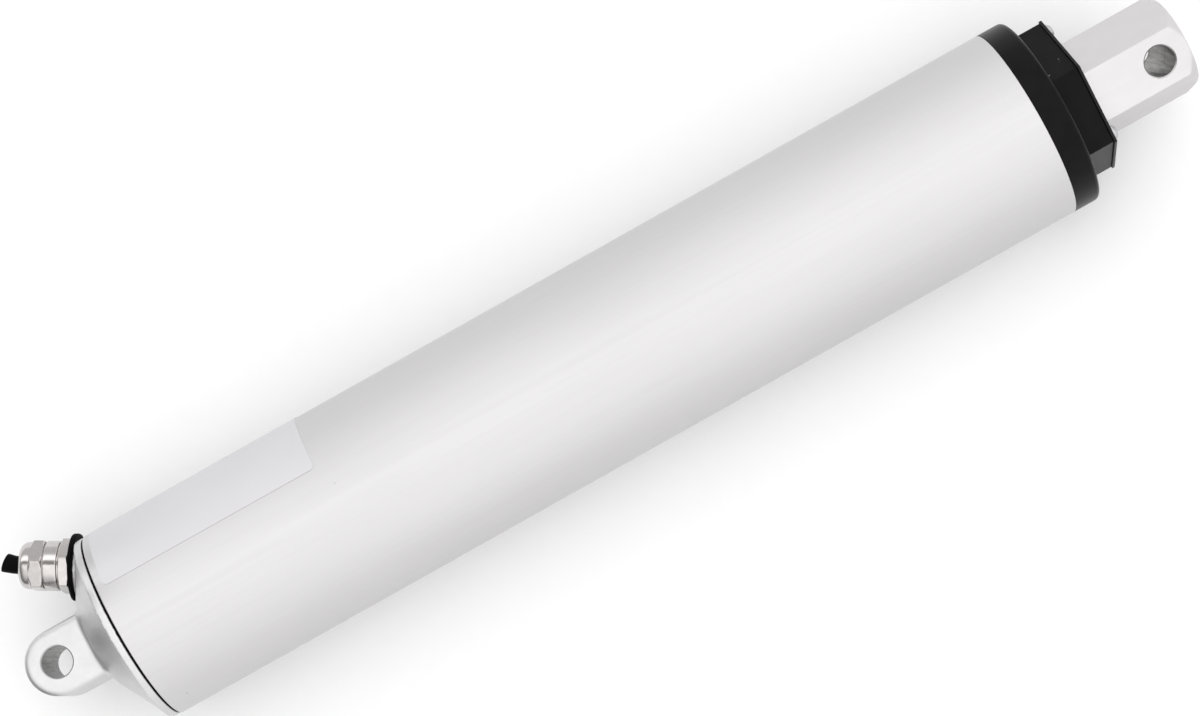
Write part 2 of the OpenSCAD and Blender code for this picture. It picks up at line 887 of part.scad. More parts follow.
module front_sleeve() color("lightsteelblue") {
    pocket_depth = stack_r - sensor_r + 0.05;
    difference() {
        ring(sleeve_x, sleeve_l, stack_r, sleeve_bore_r);
        lead_groove(sleeve_x, front_sensor_x - sleeve_x + over);
        for (x = [rear_sensor_x, front_sensor_x])
            translate([x - sensor_gap, -stack_r - over, 0])
                cube([sensor_l + 2 * sensor_gap, over + pocket_depth, sensor_z + sensor_w + 0.1]);
    }
}

module front_buffer() color("black") {
    ring(guide_x - front_buffer_t, front_buffer_t, guide_r, guide_nose_r);
}

module rod_guide() color("darkgoldenrod") {
    front_frame() difference() {
        union() {
            bar(guide_x, guide_flange_x - guide_x, guide_r);
            bar(guide_flange_x, guide_flange_l, stack_r);
            bar(guide_x, wiper_x - guide_x, guide_nose_r);
        }
        hexagon(guide_x - over, wiper_x - guide_x + 2 * over, rod_af + 2 * guide_gap);
    }
}

module rod_wiper() color("black") {
    front_frame() difference() {
        bar(wiper_x, wiper_l, guide_nose_r);
        hexagon(wiper_x - over, wiper_l + 2 * over, rod_af + guide_gap);
    }
}

// Repeats a shape at every second corner of the nose
module at_cover_screws() {
    for (a = [0, 120, 240]) rotate([a, 0, 0]) translate([0, cover_screw_mid_r, 0]) children();
}

module front_cap() color(black_colour) {
    edge = 1.6;
    edge_round = 0.3 * edge;
    rear_edge = 0.3;
    rear_gap = 0.15;            // the ring's rear rim is this far inside the tube's surface
    front_frame() difference() {
        union() {
            bar(front_spigot_x, front_spigot_l + slack, spigot_r);
            turned([
                [0, tube_end_x], [tube_r - rear_gap, tube_end_x], [tube_r, tube_end_x + rear_edge],
                [tube_r, nose_x - edge], [tube_r - edge_round, nose_x - edge_round],
                [tube_r - edge, nose_x], [0, nose_x]
            ]);
            hexagon(nose_x - slack, nose_l + slack, nose_af);
        }
        bar(front_spigot_x - over, cover_x - front_spigot_x + 2 * over, guide_nose_r);
        ring(front_groove_x, o_groove_l, bore_r + over, o_groove_r);
        at_cover_screws() bar(cover_x - cover_screw_l, cover_screw_l + over, cover_screw_r);
    }
}

module front_o_ring() color("black") {
    o_ring(front_groove_x + o_groove_l / 2);
}

module cover_plate() color(black_colour) {
    front_frame() difference() {
        hexagon(cover_x, cover_t, cover_af);
        hexagon(cover_x - over, cover_t + 2 * over, rod_af + 2 * cover_gap);
        at_cover_screws() bar(cover_x - over, cover_t + 2 * over, cover_screw_r);
    }
}

module cover_screws() color("silver") {
    head_x = cover_x + cover_t;
    rim_l = 0.4 * cover_head_l;
    recess_w = 0.6;
    recess_l = 2.6;
    front_frame() at_cover_screws() difference() {
        turned([
            [0, cover_x - cover_screw_l], [cover_screw_r, cover_x - cover_screw_l],
            [cover_screw_r, head_x], [cover_head_r, head_x], [cover_head_r, head_x + rim_l],
            [0.85 * cover_head_r, head_x + 0.8 * cover_head_l],
            [0.5 * cover_head_r, head_x + cover_head_l], [0, head_x + cover_head_l]
        ]);
        for (a = [0, 90]) rotate([a, 0, 0])
            translate([head_x + rim_l, -recess_w / 2, -recess_l / 2])
                cube([cover_head_l, recess_w, recess_l]);
    }
}

// ---------- tube and label ----------

module outer_tube() color(tube_colour) {
    ring(tube_x, tube_end_x - tube_x, tube_r, bore_r);
}

module rating_label() color("whitesmoke") {
    rotate([-label_end, 0, 0]) on_x(label_x) rotate(180)
        rotate_extrude(angle = label_end - label_start)
            translate([tube_r, 0]) square([label_t, label_l]);
}

rear_cap();
rear_gasket();
outer_tube();
rear_o_ring();
rating_label();
gland_washer();
gland_body();
gland_seal();
gland_nut();
cable_jacket();
cable_cores();
terminal_block();
circuit_board();
board_screws();
motor_leads();
sensor_lead();
limit_sensors();
motor_end_bell();
brush_holders();
brushes();
brush_springs();
motor_can();
magnets();
motor_flange();
motor_bushes();
rotor_shaft();
rotor_core();
rotor_windings();
commutator();
sun_gear();
ring_gear();
planet_gear(0);  // planet_gear_1
planet_gear(1);  // planet_gear_2
planet_gear(2);  // planet_gear_3
planet_carrier();
planet_pins();
bearing_block();
bearing_clip();
bearing_outer_rings();
bearing_inner_rings();
bearing_balls();
bearing_cages();
screw_locknut();
lead_screw();
screw_end_bush();
drive_nut();
piston();
piston_magnet();
rod();
rear_buffer();
front_sleeve();
front_buffer();
rod_guide();
rod_wiper();
front_cap();
front_o_ring();
cover_plate();
cover_screws();
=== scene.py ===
import math

import bmesh
import bpy
import numpy as np
from mathutils import Matrix, Vector


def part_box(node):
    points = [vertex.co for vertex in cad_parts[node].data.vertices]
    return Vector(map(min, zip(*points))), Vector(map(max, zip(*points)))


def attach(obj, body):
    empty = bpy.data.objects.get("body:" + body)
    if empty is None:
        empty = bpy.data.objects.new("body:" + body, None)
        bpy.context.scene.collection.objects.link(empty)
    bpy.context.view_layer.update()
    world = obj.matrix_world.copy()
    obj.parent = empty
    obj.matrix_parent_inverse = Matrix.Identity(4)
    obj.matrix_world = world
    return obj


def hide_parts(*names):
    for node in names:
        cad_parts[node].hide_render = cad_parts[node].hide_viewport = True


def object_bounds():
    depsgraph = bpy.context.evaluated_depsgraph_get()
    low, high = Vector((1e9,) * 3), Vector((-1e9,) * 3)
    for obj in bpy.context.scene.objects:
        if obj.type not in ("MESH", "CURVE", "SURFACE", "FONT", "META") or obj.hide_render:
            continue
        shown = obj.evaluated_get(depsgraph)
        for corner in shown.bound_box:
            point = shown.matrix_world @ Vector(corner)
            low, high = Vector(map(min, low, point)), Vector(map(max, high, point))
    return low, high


# Detailed pieces, materials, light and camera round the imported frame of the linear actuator.
# Shapes are worked out in millimetres in the frame's own axes, and the meshes hold metres.

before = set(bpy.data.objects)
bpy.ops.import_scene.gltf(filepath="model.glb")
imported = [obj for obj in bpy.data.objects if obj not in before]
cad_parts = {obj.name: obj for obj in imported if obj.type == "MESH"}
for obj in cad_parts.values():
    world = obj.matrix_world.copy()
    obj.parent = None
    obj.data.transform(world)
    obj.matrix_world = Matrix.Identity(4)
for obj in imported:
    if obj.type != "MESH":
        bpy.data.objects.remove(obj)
cad_low, cad_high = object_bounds()

MM = 0.001
TURN = 2 * math.pi
SIXTH = math.radians(60)


# ---------- sizes, from the frame where a box gives them ----------

def span(node, axis):
    """Lowest and highest place of a CAD node along an axis, in millimetres."""
    low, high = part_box(node)
    return low[axis] / MM, high[axis] / MM


X, Y, Z = 0, 1, 2
tube_x, tube_end_x = span("outer_tube", X)
tube_r = span("outer_tube", Z)[1]
gasket_x = span("rear_gasket", X)[0]
gasket_r = span("rear_gasket", Z)[1]
cap_end_x = span("rear_cap", X)[1]
lug_r = -span("rear_cap", X)[0]
spigot_x, nose_end_x = span("front_cap", X)
plate_x, plate_end_x = span("cover_plate", X)
rod_x, rod_end_x = span("rod", X)
label_x, label_end_x = span("rating_label", X)
label_r = span("rating_label", Y)[1]
drive_nut_end_x = span("drive_nut", X)[1]
bore_r = span("front_sleeve", Z)[1] + 0.2
spigot_r = bore_r - 0.1

front_turn = math.radians(21)       # the screwed-in front end, about the axis
eye_r = 5.1
eye_bevel = 0.4
lug_half_t = 12

# The frames that turned shapes are made in: local +Z is the shape's own axis
ALONG_X = Matrix.Rotation(math.pi / 2, 4, "Y")
FRONT = Matrix.Rotation(front_turn, 4, "X") @ ALONG_X
gland_tilt = math.radians(30)
gland_foot = Vector((18.45, 25.17, 0))
GLAND = (Matrix.Translation(gland_foot) @ Matrix.Rotation(-gland_tilt, 4, "Z")
         @ Matrix.Rotation(-math.pi / 2, 4, "Y"))


# ---------- mesh helpers ----------

def mesh_object(name, points, faces, place=Matrix.Identity(4)):
    """A closed mesh from points in millimetres, placed by a matrix in millimetres."""
    points = np.asarray(points, float) @ np.array(place.to_3x3()).T + np.array(place.translation)
    mesh = bpy.data.meshes.new(name)
    mesh.from_pydata((points * MM).tolist(), [], [list(f) for f in faces])
    work = bmesh.new()
    work.from_mesh(mesh)
    same_place, sliver = 0.0005 * MM, 0.0001 * MM
    bmesh.ops.remove_doubles(work, verts=work.verts, dist=same_place)
    bmesh.ops.dissolve_degenerate(work, edges=work.edges, dist=sliver)
    loose = [edge for edge in work.edges if not edge.link_faces]
    bmesh.ops.delete(work, geom=loose, context="EDGES")
    bmesh.ops.recalc_face_normals(work, faces=work.faces)
    work.to_mesh(mesh)
    work.free()
    piece = bpy.data.objects.new(name, mesh)
    bpy.context.scene.collection.objects.link(piece)
    return piece


def combine(piece, other, operation):
    """Cuts, joins or intersects piece with another closed object, which is used up."""
    change = piece.modifiers.new("combine", "BOOLEAN")
    change.object = other
    change.operation = operation
    change.solver = "MANIFOLD"
    settled = bpy.data.meshes.new_from_object(
        piece.evaluated_get(bpy.context.evaluated_depsgraph_get()))
    piece.modifiers.remove(change)
    piece.data = settled
    bpy.data.objects.remove(other)
    return piece


def finish_piece(piece, body, slot, *nodes, sharp=32):
    """Shades the piece, gives it its material and lets it stand for its CAD nodes."""
    piece.data.materials.clear()
    piece.data.materials.append(materials[slot])
    for polygon in piece.data.polygons:
        polygon.use_smooth = True
    piece.data.set_sharp_from_angle(angle=math.radians(sharp))
    weighted = piece.modifiers.new("weighted_normals", "WEIGHTED_NORMAL")
    weighted.keep_sharp = True
    weighted.weight = 80
    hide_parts(*nodes)
    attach(piece, body)
    return piece


def rounded(corners, steps=4):
    """Closed outline through corners (a, b, radius), each one rounded by its radius."""
    outline = []
    for i, (a, b, radius) in enumerate(corners):
        here = np.array((a, b), float)
        before = np.array(corners[i - 1][:2], float) - here
        after = np.array(corners[(i + 1) % len(corners)][:2], float) - here
        if radius <= 0:
            outline.append(tuple(here))
            continue
        before /= np.linalg.norm(before)
        after /= np.linalg.norm(after)
        half = math.acos(np.clip(before @ after, -1, 1)) / 2
        middle = here + (before + after) / np.linalg.norm(before + after) * radius / math.sin(half)
        start = here + before * radius / math.tan(half) - middle
        end = here + after * radius / math.tan(half) - middle
        sweep = math.pi - 2 * half
        for k in range(steps + 1):
            t = k / steps * sweep
            spoke = (math.sin(sweep - t) * start + math.sin(t) * end) / math.sin(sweep)
            outline.append(tuple(middle + spoke))
    return outline


def smooth_min(a, b, blend):
    """The smaller of two values, with a round change of about the given size."""
    near = np.maximum(blend - np.abs(a - b), 0) / blend
    return np.minimum(a, b) - near * near * blend / 4


def smooth_max(a, b, blend):
    return -smooth_min(-a, -b, blend)


def round_angles(count):
    return np.arange(count) * TURN / count


def hexagon_angles(flat_at, flat_steps=8, corner_steps=6, corner_span=math.radians(7)):
    """Angles round a hexagon, closer together at its corners."""
    half_flat = SIXTH / 2 - corner_span / 2
    side = list(np.linspace(-half_flat, half_flat, flat_steps, endpoint=False))
    side += list(np.linspace(half_flat, half_flat + corner_span, corner_steps, endpoint=False))
    return np.concatenate([np.array(side) + flat_at + k * SIXTH for k in range(6)])


def hexagon_radius(angles, flat_at, apothem, corner_r):
    """Distance from the axis to a hexagon with rounded corners, at each angle."""
    along = (angles - flat_at + SIXTH / 2) % SIXTH - SIXTH / 2
    flat = apothem / np.cos(along)
    corner_mid = (apothem - corner_r) / math.cos(SIXTH / 2)
    off = SIXTH / 2 - np.abs(along)
    reach = np.maximum(corner_r ** 2 - (corner_mid * np.sin(off)) ** 2, 0)
    corner = corner_mid * np.cos(off) + np.sqrt(reach)
    tangent = math.atan((apothem - corner_r) * math.tan(SIXTH / 2) / apothem)
    return np.where(np.abs(along) > tangent, corner, flat)


def hexagon_corner(apothem):
    """Distance from a hexagon's axis to its sharp corner."""
    return apothem / math.cos(SIXTH / 2)


def loft(name, rows, angles, place):
    """A closed shape through rows (z, radius): the radius is a number or an array by angle."""
    points = []
    for z, radius in rows:
        radius = np.broadcast_to(radius, angles.shape)
        points.append(np.stack([radius * np.cos(angles), radius * np.sin(angles),
                                np.full(angles.shape, z)], 1))
    count, around = len(rows), len(angles)
    faces = []
    for i in range(count):
        for j in range(around):
            faces.append((i * around + j, i * around + (j + 1) % around,
                          (i + 1) % count * around + (j + 1) % around, (i + 1) % count * around + j))
    return mesh_object(name, np.concatenate(points), faces, place)


def turned(name, corners, place, count=160, steps=4):
    """A turned closed shape from corners (z, radius, rounding)."""
    return loft(name, rounded(corners, steps), round_angles(count), place)


# ---------- materials ----------

class Surface:
    """Builds one procedural material; lengths are in millimetres."""

    def __init__(self, slot, **sockets):
        self.material = bpy.data.materials.new(slot + "_finish")
        self.material.use_nodes = True
        self.tree = self.material.node_tree
        self.shader = self.tree.nodes["Principled BSDF"]
        self.place = self.tree.nodes.new("ShaderNodeTexCoord").outputs["Object"]
        self.turn = 0.0             # how far the pattern is turned about the actuator's axis
        for name, value in sockets.items():
            self.shader.inputs[name.replace("_", " ")].default_value = value

    def link(self, source, target):
        self.tree.links.new(source, target)

    def scaled(self, stretch=(1, 1, 1)):
        """Object coordinates, stretched: a stretch of 20 makes a pattern 20 times longer."""
        mapping = self.tree.nodes.new("ShaderNodeMapping")
        mapping.vector_type = "TEXTURE"
        mapping.inputs["Scale"].default_value = stretch
        mapping.inputs["Rotation"].default_value = (self.turn, 0, 0)
        self.link(self.place, mapping.inputs["Vector"])
        return mapping.outputs["Vector"]

    def noise(self, size, detail=3, rough=0.5, stretch=(1, 1, 1)):
        texture = self.tree.nodes.new("ShaderNodeTexNoise")
        texture.inputs["Scale"].default_value = 1 / (size * MM)
        texture.inputs["Detail"].default_value = detail
        texture.inputs["Roughness"].default_value = rough
        self.link(self.scaled(stretch), texture.inputs["Vector"])
        return texture.outputs["Fac"]

    def cells(self, size, stretch=(1, 1, 1)):
        texture = self.tree.nodes.new("ShaderNodeTexVoronoi")
        texture.inputs["Scale"].default_value = 1 / (size * MM)
        self.link(self.scaled(stretch), texture.inputs["Vector"])
        return texture.outputs["Distance"]

    def bands(self, pitch, direction="X", wobble=0.0):
        """Straight or ring-shaped lines, one every pitch."""
        texture = self.tree.nodes.new("ShaderNodeTexWave")
        texture.wave_type = "BANDS"
        texture.bands_direction = direction
        # the wave texture's own period is 2 pi / 20 of a unit
        texture.inputs["Scale"].default_value = TURN / 20 / (pitch * MM)
        texture.inputs["Distortion"].default_value = wobble
        texture.inputs["Detail"].default_value = 1
        self.link(self.place, texture.inputs["Vector"])
        return texture.outputs["Fac"]

    def ranged(self, value, low, high, start=0.0, end=1.0):
        """The value's stretch from start to end, mapped to low to high."""
        mapped = self.tree.nodes.new("ShaderNodeMapRange")
        for name, number in (("From Min", start), ("From Max", end), ("To Min", low), ("To Max", high)):
            mapped.inputs[name].default_value = number
        self.link(value, mapped.inputs["Value"])
        return mapped.outputs["Result"]

    def combined(self, a, b, operation="MULTIPLY"):
        maths = self.tree.nodes.new("ShaderNodeMath")
        maths.operation = operation
        self.link(a, maths.inputs[0])
        self.link(b, maths.inputs[1])
        return maths.outputs["Value"]

    def mixed(self, factor, first, second):
        """A colour between two, each one an RGB triple or another node's output."""
        mix = self.tree.nodes.new("ShaderNodeMix")
        mix.data_type = "RGBA"
        self.link(factor, mix.inputs["Factor"])
        for colour, target in ((first, mix.inputs[6]), (second, mix.inputs[7])):
            if isinstance(colour, tuple):
                target.default_value = (*colour, 1)
            else:
                self.link(colour, target)
        return mix.outputs[2]

    def colour(self, value):
        self.link(value, self.shader.inputs["Base Color"])
        return self

    def roughness(self, value):
        self.link(value, self.shader.inputs["Roughness"])
        return self

    def bump(self, height, depth):
        """Raises the surface by up to depth millimetres where height is 1."""
        relief = self.tree.nodes.new("ShaderNodeBump")
        relief.inputs["Distance"].default_value = depth * MM
        self.link(height, relief.inputs["Height"])
        before = self.shader.inputs["Normal"].links
        if before:
            self.link(before[0].from_socket, relief.inputs["Normal"])
        self.link(relief.outputs["Normal"], self.shader.inputs["Normal"])
        return self


def tinted(colour, factor):
    return tuple(min(c * factor, 1) for c in colour)


def plain(slot, colour, roughness, grain=0.4, depth=0.01, tone=0.06, polish=0.08, patch=7,
          stretch=(1, 1, 1), **sockets):
    """A finish with a fine grain, soft patches of tone and an uneven polish."""
    made = Surface(slot, **sockets)
    patches = made.noise(patch, 3, 0.6)
    made.colour(made.mixed(made.ranged(patches, 0, 1, 0.3, 0.7),
                           tinted(colour, 1 - tone), tinted(colour, 1 + tone)))
    fine = made.noise(grain, 4, 0.6, stretch)
    made.roughness(made.ranged(fine, roughness - polish, roughness + polish, 0.3, 0.7))
    made.bump(fine, depth)
    return made


def anodised_tube():
    """Satin anodised extrusion: a soft sheen, faint draw lines and a few tiny pits."""
    made = Surface("anodised_tube", Metallic=1.0)
    silver = (0.575, 0.567, 0.570)
    patches = made.noise(26, 3, 0.55, (3, 1, 1))
    base = made.mixed(made.ranged(patches, 0, 1, 0.3, 0.7),
                      tinted(silver, 0.982), tinted(silver, 1.012))
    pits = made.ranged(made.cells(17), 0, 1, 0.035, 0.02)
    scarce = made.ranged(made.noise(31, 1, 0.5), 0, 1, 0.58, 0.62)
    made.colour(made.mixed(made.combined(pits, scarce), base, (0.42, 0.42, 0.43)))
    lines = made.noise(0.7, 3, 0.6, (160, 1, 1))
    made.roughness(made.ranged(lines, 0.40, 0.50, 0.3, 0.7))
    made.bump(lines, 0.004)
    made.bump(made.noise(0.12, 2, 0.5), 0.0035)
    return made


def cast_aluminium():
    """Die casting, blasted and tumbled: sparkling grain over a slightly wavy skin."""
    made = Surface("cast_aluminium", Metallic=1.0)
    silver = (0.615, 0.61, 0.615)
    patches = made.noise(5, 4, 0.6)
    made.colour(made.mixed(made.ranged(patches, 0, 1, 0.3, 0.7),
                           tinted(silver, 0.95), tinted(silver, 1.03)))
    grain = made.noise(0.35, 3, 0.65)
    made.roughness(made.ranged(grain, 0.34, 0.52, 0.3, 0.7))
    made.bump(grain, 0.035)
    made.bump(made.noise(2.6, 2, 0.5), 0.05)
    return made


def rod_aluminium():
    """Drawn hexagon bar with lengthwise grain and a few scuffs."""
    made = Surface("rod_aluminium", Metallic=1.0)
    silver = (0.585, 0.570, 0.575)
    patches = made.noise(9, 3, 0.6, (2, 1, 1))
    base = made.mixed(made.ranged(patches, 0, 1, 0.3, 0.7), tinted(silver, 0.97), tinted(silver, 1.02))
    scuffs = made.ranged(made.noise(2.2, 4, 0.7), 0, 0.5, 0.70, 0.78)
    made.colour(made.mixed(scuffs, base, (0.5, 0.49, 0.48)))
    lines = made.noise(0.5, 3, 0.6, (60, 1, 1))
    made.roughness(made.ranged(lines, 0.30, 0.42, 0.3, 0.7))
    made.bump(lines, 0.006)
    made.bump(made.noise(0.2, 2, 0.5), 0.004)
    return made


def nickel_plate():
    """Bright nickel over brass: nearly a mirror, with fine turning marks."""
    made = Surface("nickel_plate", Metallic=1.0)
    nickel = (0.56, 0.535, 0.525)
    patches = made.noise(2.4, 3, 0.6)
    made.colour(made.mixed(made.ranged(patches, 0, 1, 0.3, 0.7),
                           tinted(nickel, 0.93), tinted(nickel, 1.04)))
    marks = made.noise(0.5, 4, 0.7)
    made.roughness(made.ranged(marks, 0.12, 0.26, 0.3, 0.7))
    made.bump(marks, 0.012)
    return made


def label_foil():
    """Matt silver foil, blank."""
    made = Surface("label_foil", Metallic=0.4, Coat_Weight=0.1, Coat_Roughness=0.35)
    paper = (0.585, 0.578, 0.597)
    patches = made.noise(18, 3, 0.5)
    made.colour(made.mixed(made.ranged(patches, 0, 1, 0.3, 0.7),
                           tinted(paper, 0.985), tinted(paper, 1.01)))
    grain = made.noise(0.3, 2, 0.5)
    made.roughness(made.ranged(grain, 0.50, 0.58, 0.3, 0.7))
    made.bump(grain, 0.003)
    return made


def black_nylon():
    """Glass-filled nylon moulding: fine texture, flow marks and a little dust."""
    made = Surface("black_nylon", Specular_IOR_Level=0.08, Sheen_Weight=0.07, Sheen_Roughness=0.4)
    black = (0.0035, 0.0033, 0.0036)
    patches = made.noise(7, 4, 0.6)
    base = made.mixed(made.ranged(patches, 0, 1, 0.3, 0.7), tinted(black, 0.7), tinted(black, 1.5))
    dust = made.ranged(made.cells(7.5), 0, 1, 0.045, 0.02)
    made.colour(made.mixed(dust, base, (0.30, 0.30, 0.30)))
    grain = made.noise(0.22, 3, 0.6)
    made.roughness(made.ranged(grain, 0.27, 0.42, 0.3, 0.7))
    made.bump(grain, 0.012)
    made.bump(made.noise(4, 2, 0.5), 0.03)
    return made


def rotor_lamination():
    """Thin steel sheets stacked along the axis."""
    made = Surface("lamination", Metallic=1.0)
    steel = (0.34, 0.35, 0.37)
    sheets = made.bands(0.5)
    made.colour(made.mixed(sheets, tinted(steel, 0.5), tinted(steel, 1.15)))
    made.roughness(made.ranged(made.noise(0.6), 0.36, 0.5, 0.3, 0.7))
    made.bump(sheets, 0.05)
    return made


def wound_copper():
    """Copper with the lines of its wire."""
    made = Surface("copper", Metallic=1.0)
    copper = (0.72, 0.31, 0.16)
    wires = made.bands(0.55, "DIAGONAL", 0.6)
    made.colour(made.mixed(wires, tinted(copper, 0.6), tinted(copper, 1.15)))
    made.roughness(made.ranged(made.noise(0.5), 0.22, 0.36, 0.3, 0.7))
    made.bump(wires, 0.08)
    return made


def board_laminate():
    """Green circuit board with a weave under its lacquer."""
    made = Surface("board_laminate", Coat_Weight=0.4, Coat_Roughness=0.2)
    green = (0.02, 0.13, 0.06)
    weave = made.combined(made.bands(0.8, "Y"), made.bands(0.8, "Z"))
    made.colour(made.mixed(weave, tinted(green, 0.8), tinted(green, 1.3)))
    made.roughness(made.ranged(made.noise(0.6), 0.32, 0.44, 0.3, 0.7))
    made.bump(weave, 0.01)
    return made


def shaded_bore_metal(name, turn):
    """The wall of a drilled cross hole, in a dark grey that is painted shade of the hole's inside, with
    rings and streaks from the drill.
    """
    made = Surface(name, Metallic=1.0)
    made.turn = turn
    # the dark grey is painted shade of the inside of the hole; the drill marks vary it
    grey = (0.245, 0.24, 0.237)
    rings = made.noise(0.5, 4, 0.7, (14, 14, 1))
    streaks = made.noise(0.9, 3, 0.7, (1, 1, 12))
    marks = made.combined(rings, streaks, "ADD")
    made.colour(made.mixed(made.ranged(marks, 0, 1, 0.75, 1.25),
                           tinted(grey, 0.35), tinted(grey, 1.75)))
    made.roughness(made.ranged(rings, 0.24, 0.42, 0.3, 0.7))
    made.bump(marks, 0.05)
    return made


def turned_metal(slot, colour, roughness, pitch=0.25, depth=0.006, **sockets):
    """A turned metal piece with fine rings round the axis."""
    made = Surface(slot, Metallic=1.0, **sockets)
    patches = made.noise(6, 3, 0.6)
    made.colour(made.mixed(made.ranged(patches, 0, 1, 0.3, 0.7),
                           tinted(colour, 0.92), tinted(colour, 1.06)))
    rings = made.bands(pitch, "X", 0.4)
    made.roughness(made.ranged(made.noise(0.5), roughness - 0.06, roughness + 0.06, 0.3, 0.7))
    made.bump(rings, depth)
    return made


materials = {
    "anodised_tube": anodised_tube(),
    "cast_aluminium": cast_aluminium(),
    "rod_aluminium": rod_aluminium(),
    "nickel_plate": nickel_plate(),
    "label_foil": label_foil(),
    "black_nylon": black_nylon(),
    "lamination": rotor_lamination(),
    "copper": wound_copper(),
    "board_laminate": board_laminate(),
    "machined_aluminium": turned_metal("machined_aluminium", (0.76, 0.76, 0.77), 0.3),
    "steel": turned_metal("steel", (0.56, 0.56, 0.57), 0.28, 0.2),
    "bearing_steel": turned_metal("bearing_steel", (0.64, 0.64, 0.65), 0.12, 0.15, 0.001),
    "spring_steel": turned_metal("spring_steel", (0.24, 0.24, 0.26), 0.36),
    "bronze": turned_metal("bronze", (0.66, 0.42, 0.2), 0.32),
    "zinc_steel": plain("zinc_steel", (0.46, 0.46, 0.47), 0.3, 0.3, 0.008, Metallic=1.0),
    "black_rubber": plain("black_rubber", (0.0018, 0.0018, 0.0018), 0.62, 0.3, 0.02,
                          Specular_IOR_Level=0.05),
    "cable_sheath": plain("cable_sheath", (0.0018, 0.0018, 0.0018), 0.55, 0.5, 0.02,
                          Specular_IOR_Level=0.05),
    "core_insulation": plain("core_insulation", (0.5, 0.09, 0.05), 0.42, 0.5, 0.01),
    "terminal_plastic": plain("terminal_plastic", (0.03, 0.16, 0.07), 0.45),
    "brown_plastic": plain("brown_plastic", (0.12, 0.05, 0.02), 0.45),
    "white_plastic": plain("white_plastic", (0.72, 0.71, 0.67), 0.4, 0.5, 0.008),
    "cage_plastic": plain("cage_plastic", (0.5, 0.36, 0.2), 0.45),
    "black_plate": plain("black_plate", (0.005, 0.005, 0.0055), 0.38, 0.18, 0.01,
                         Specular_IOR_Level=0.2),
    "ferrite": plain("ferrite", (0.05, 0.05, 0.055), 0.6, 0.25, 0.03),
    "carbon": plain("carbon", (0.035, 0.033, 0.033), 0.4, 0.3, 0.015, Metallic=0.5),
}
materials = {slot: made.material for slot, made in materials.items()}
# the cross hole walls get their own dark material: painted shade of the holes
rear_hole_shaded_wall = shaded_bore_metal("rear_hole_shaded_wall", 0).material
rod_hole_shaded_wall = shaded_bore_metal("rod_hole_shaded_wall", front_turn).material

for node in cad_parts.values():
    node_slot = node.data.materials[0].name
    node.material_slots[0].material = materials[node_slot]


# ---------- rear cap: a casting, worked out as a distance field ----------

cap_face_x = 12.3               # flat end that the lug grows from
cap_face_r = 14.3
band_l = 2.6                    # straight band between the cone and the gasket
cone_end_x = gasket_x - band_l
cone_end_r = tube_r - 1.2
band_r = tube_r - 0.2
cap_wall = 4.5
spigot_wall = 3.5
hollow_face_r = cap_face_r - 2.5
boss_r = 10.4
washer_t = 1.9
washer_r = 10.9
spot_face_gap = 0.3             # the cap is cut flat this far past the washer
gland_hole_r = 6
groove_x = tube_x + 7.7
groove_l = 2.4
groove_depth = 1.9
lug_edge = 1.2
lug_root_l = 2.5                # how deep the lug runs into the cone
lug_fillet = 1.6


def convex(blend, *sides):
    """The inside of several half spaces, with round edges between them."""
    field = sides[0]
    for side in sides[1:]:
        field = smooth_max(field, side, blend)
    return field


def cap_field(points):
    """Distance to the cap's skin at points in millimetres, below zero inside it."""
    x, y, z = points[..., 0], points[..., 1], points[..., 2]
    r = np.hypot(y, z)
    cone_run, cone_rise = cone_end_x - cap_face_x, cone_end_r - cap_face_r
    cone_side = math.hypot(cone_run, cone_rise)
    cone = ((r - cap_face_r) * cone_run - (x - cap_face_x) * cone_rise) / cone_side
    shell_end_x = gasket_x - 0.8
    shell = convex(1.2, cone, cap_face_x - x, x - shell_end_x)
    shell = np.maximum(shell, r - cone_end_r)
    band = convex(0.5, r - band_r, cone_end_x - x, x - gasket_x)
    solid = smooth_min(shell, band, 1.0)

    to_gland = np.array(GLAND.inverted())
    local = points @ to_gland[:3, :3].T + to_gland[:3, 3]
    from_axis = np.hypot(local[..., 0], local[..., 1])
    boss = convex(0.5, from_axis - boss_r, local[..., 2], -cap_wall - local[..., 2])
    boss = convex(0.6, boss, r - cone_end_r, x - gasket_x)
    spot_face = np.maximum(from_axis - washer_r - spot_face_gap, -local[..., 2])
    solid = smooth_min(np.maximum(solid, -spot_face), boss, 0.3)

    outline = np.hypot(x - np.clip(x, 0, 2 * lug_r), y) - lug_r
    lug = convex(2 * lug_edge, outline, np.abs(z) - lug_half_t)
    lug = np.maximum(lug, x - cap_face_x - lug_root_l)
    solid = smooth_min(solid, lug, lug_fillet)

    spigot = convex(0.6, r - spigot_r, gasket_x - 1 - x, x - cap_end_x)
    solid = np.minimum(solid, spigot)

    floor_x = cap_face_x + cap_wall
    slope = (floor_x + (r - hollow_face_r) * cone_run / cone_rise - x) * cone_rise / cone_side
    hollow = convex(1.0, floor_x - x, slope, r - spigot_r + spigot_wall)
    hole = np.maximum(from_axis - gland_hole_r, -3 * cap_wall - local[..., 2])
    groove = np.maximum(spigot_r - groove_depth - r, np.abs(x - groove_x - groove_l / 2) - groove_l / 2)
    for space in (hollow, hole, groove):
        solid = np.maximum(solid, -space)
    return solid


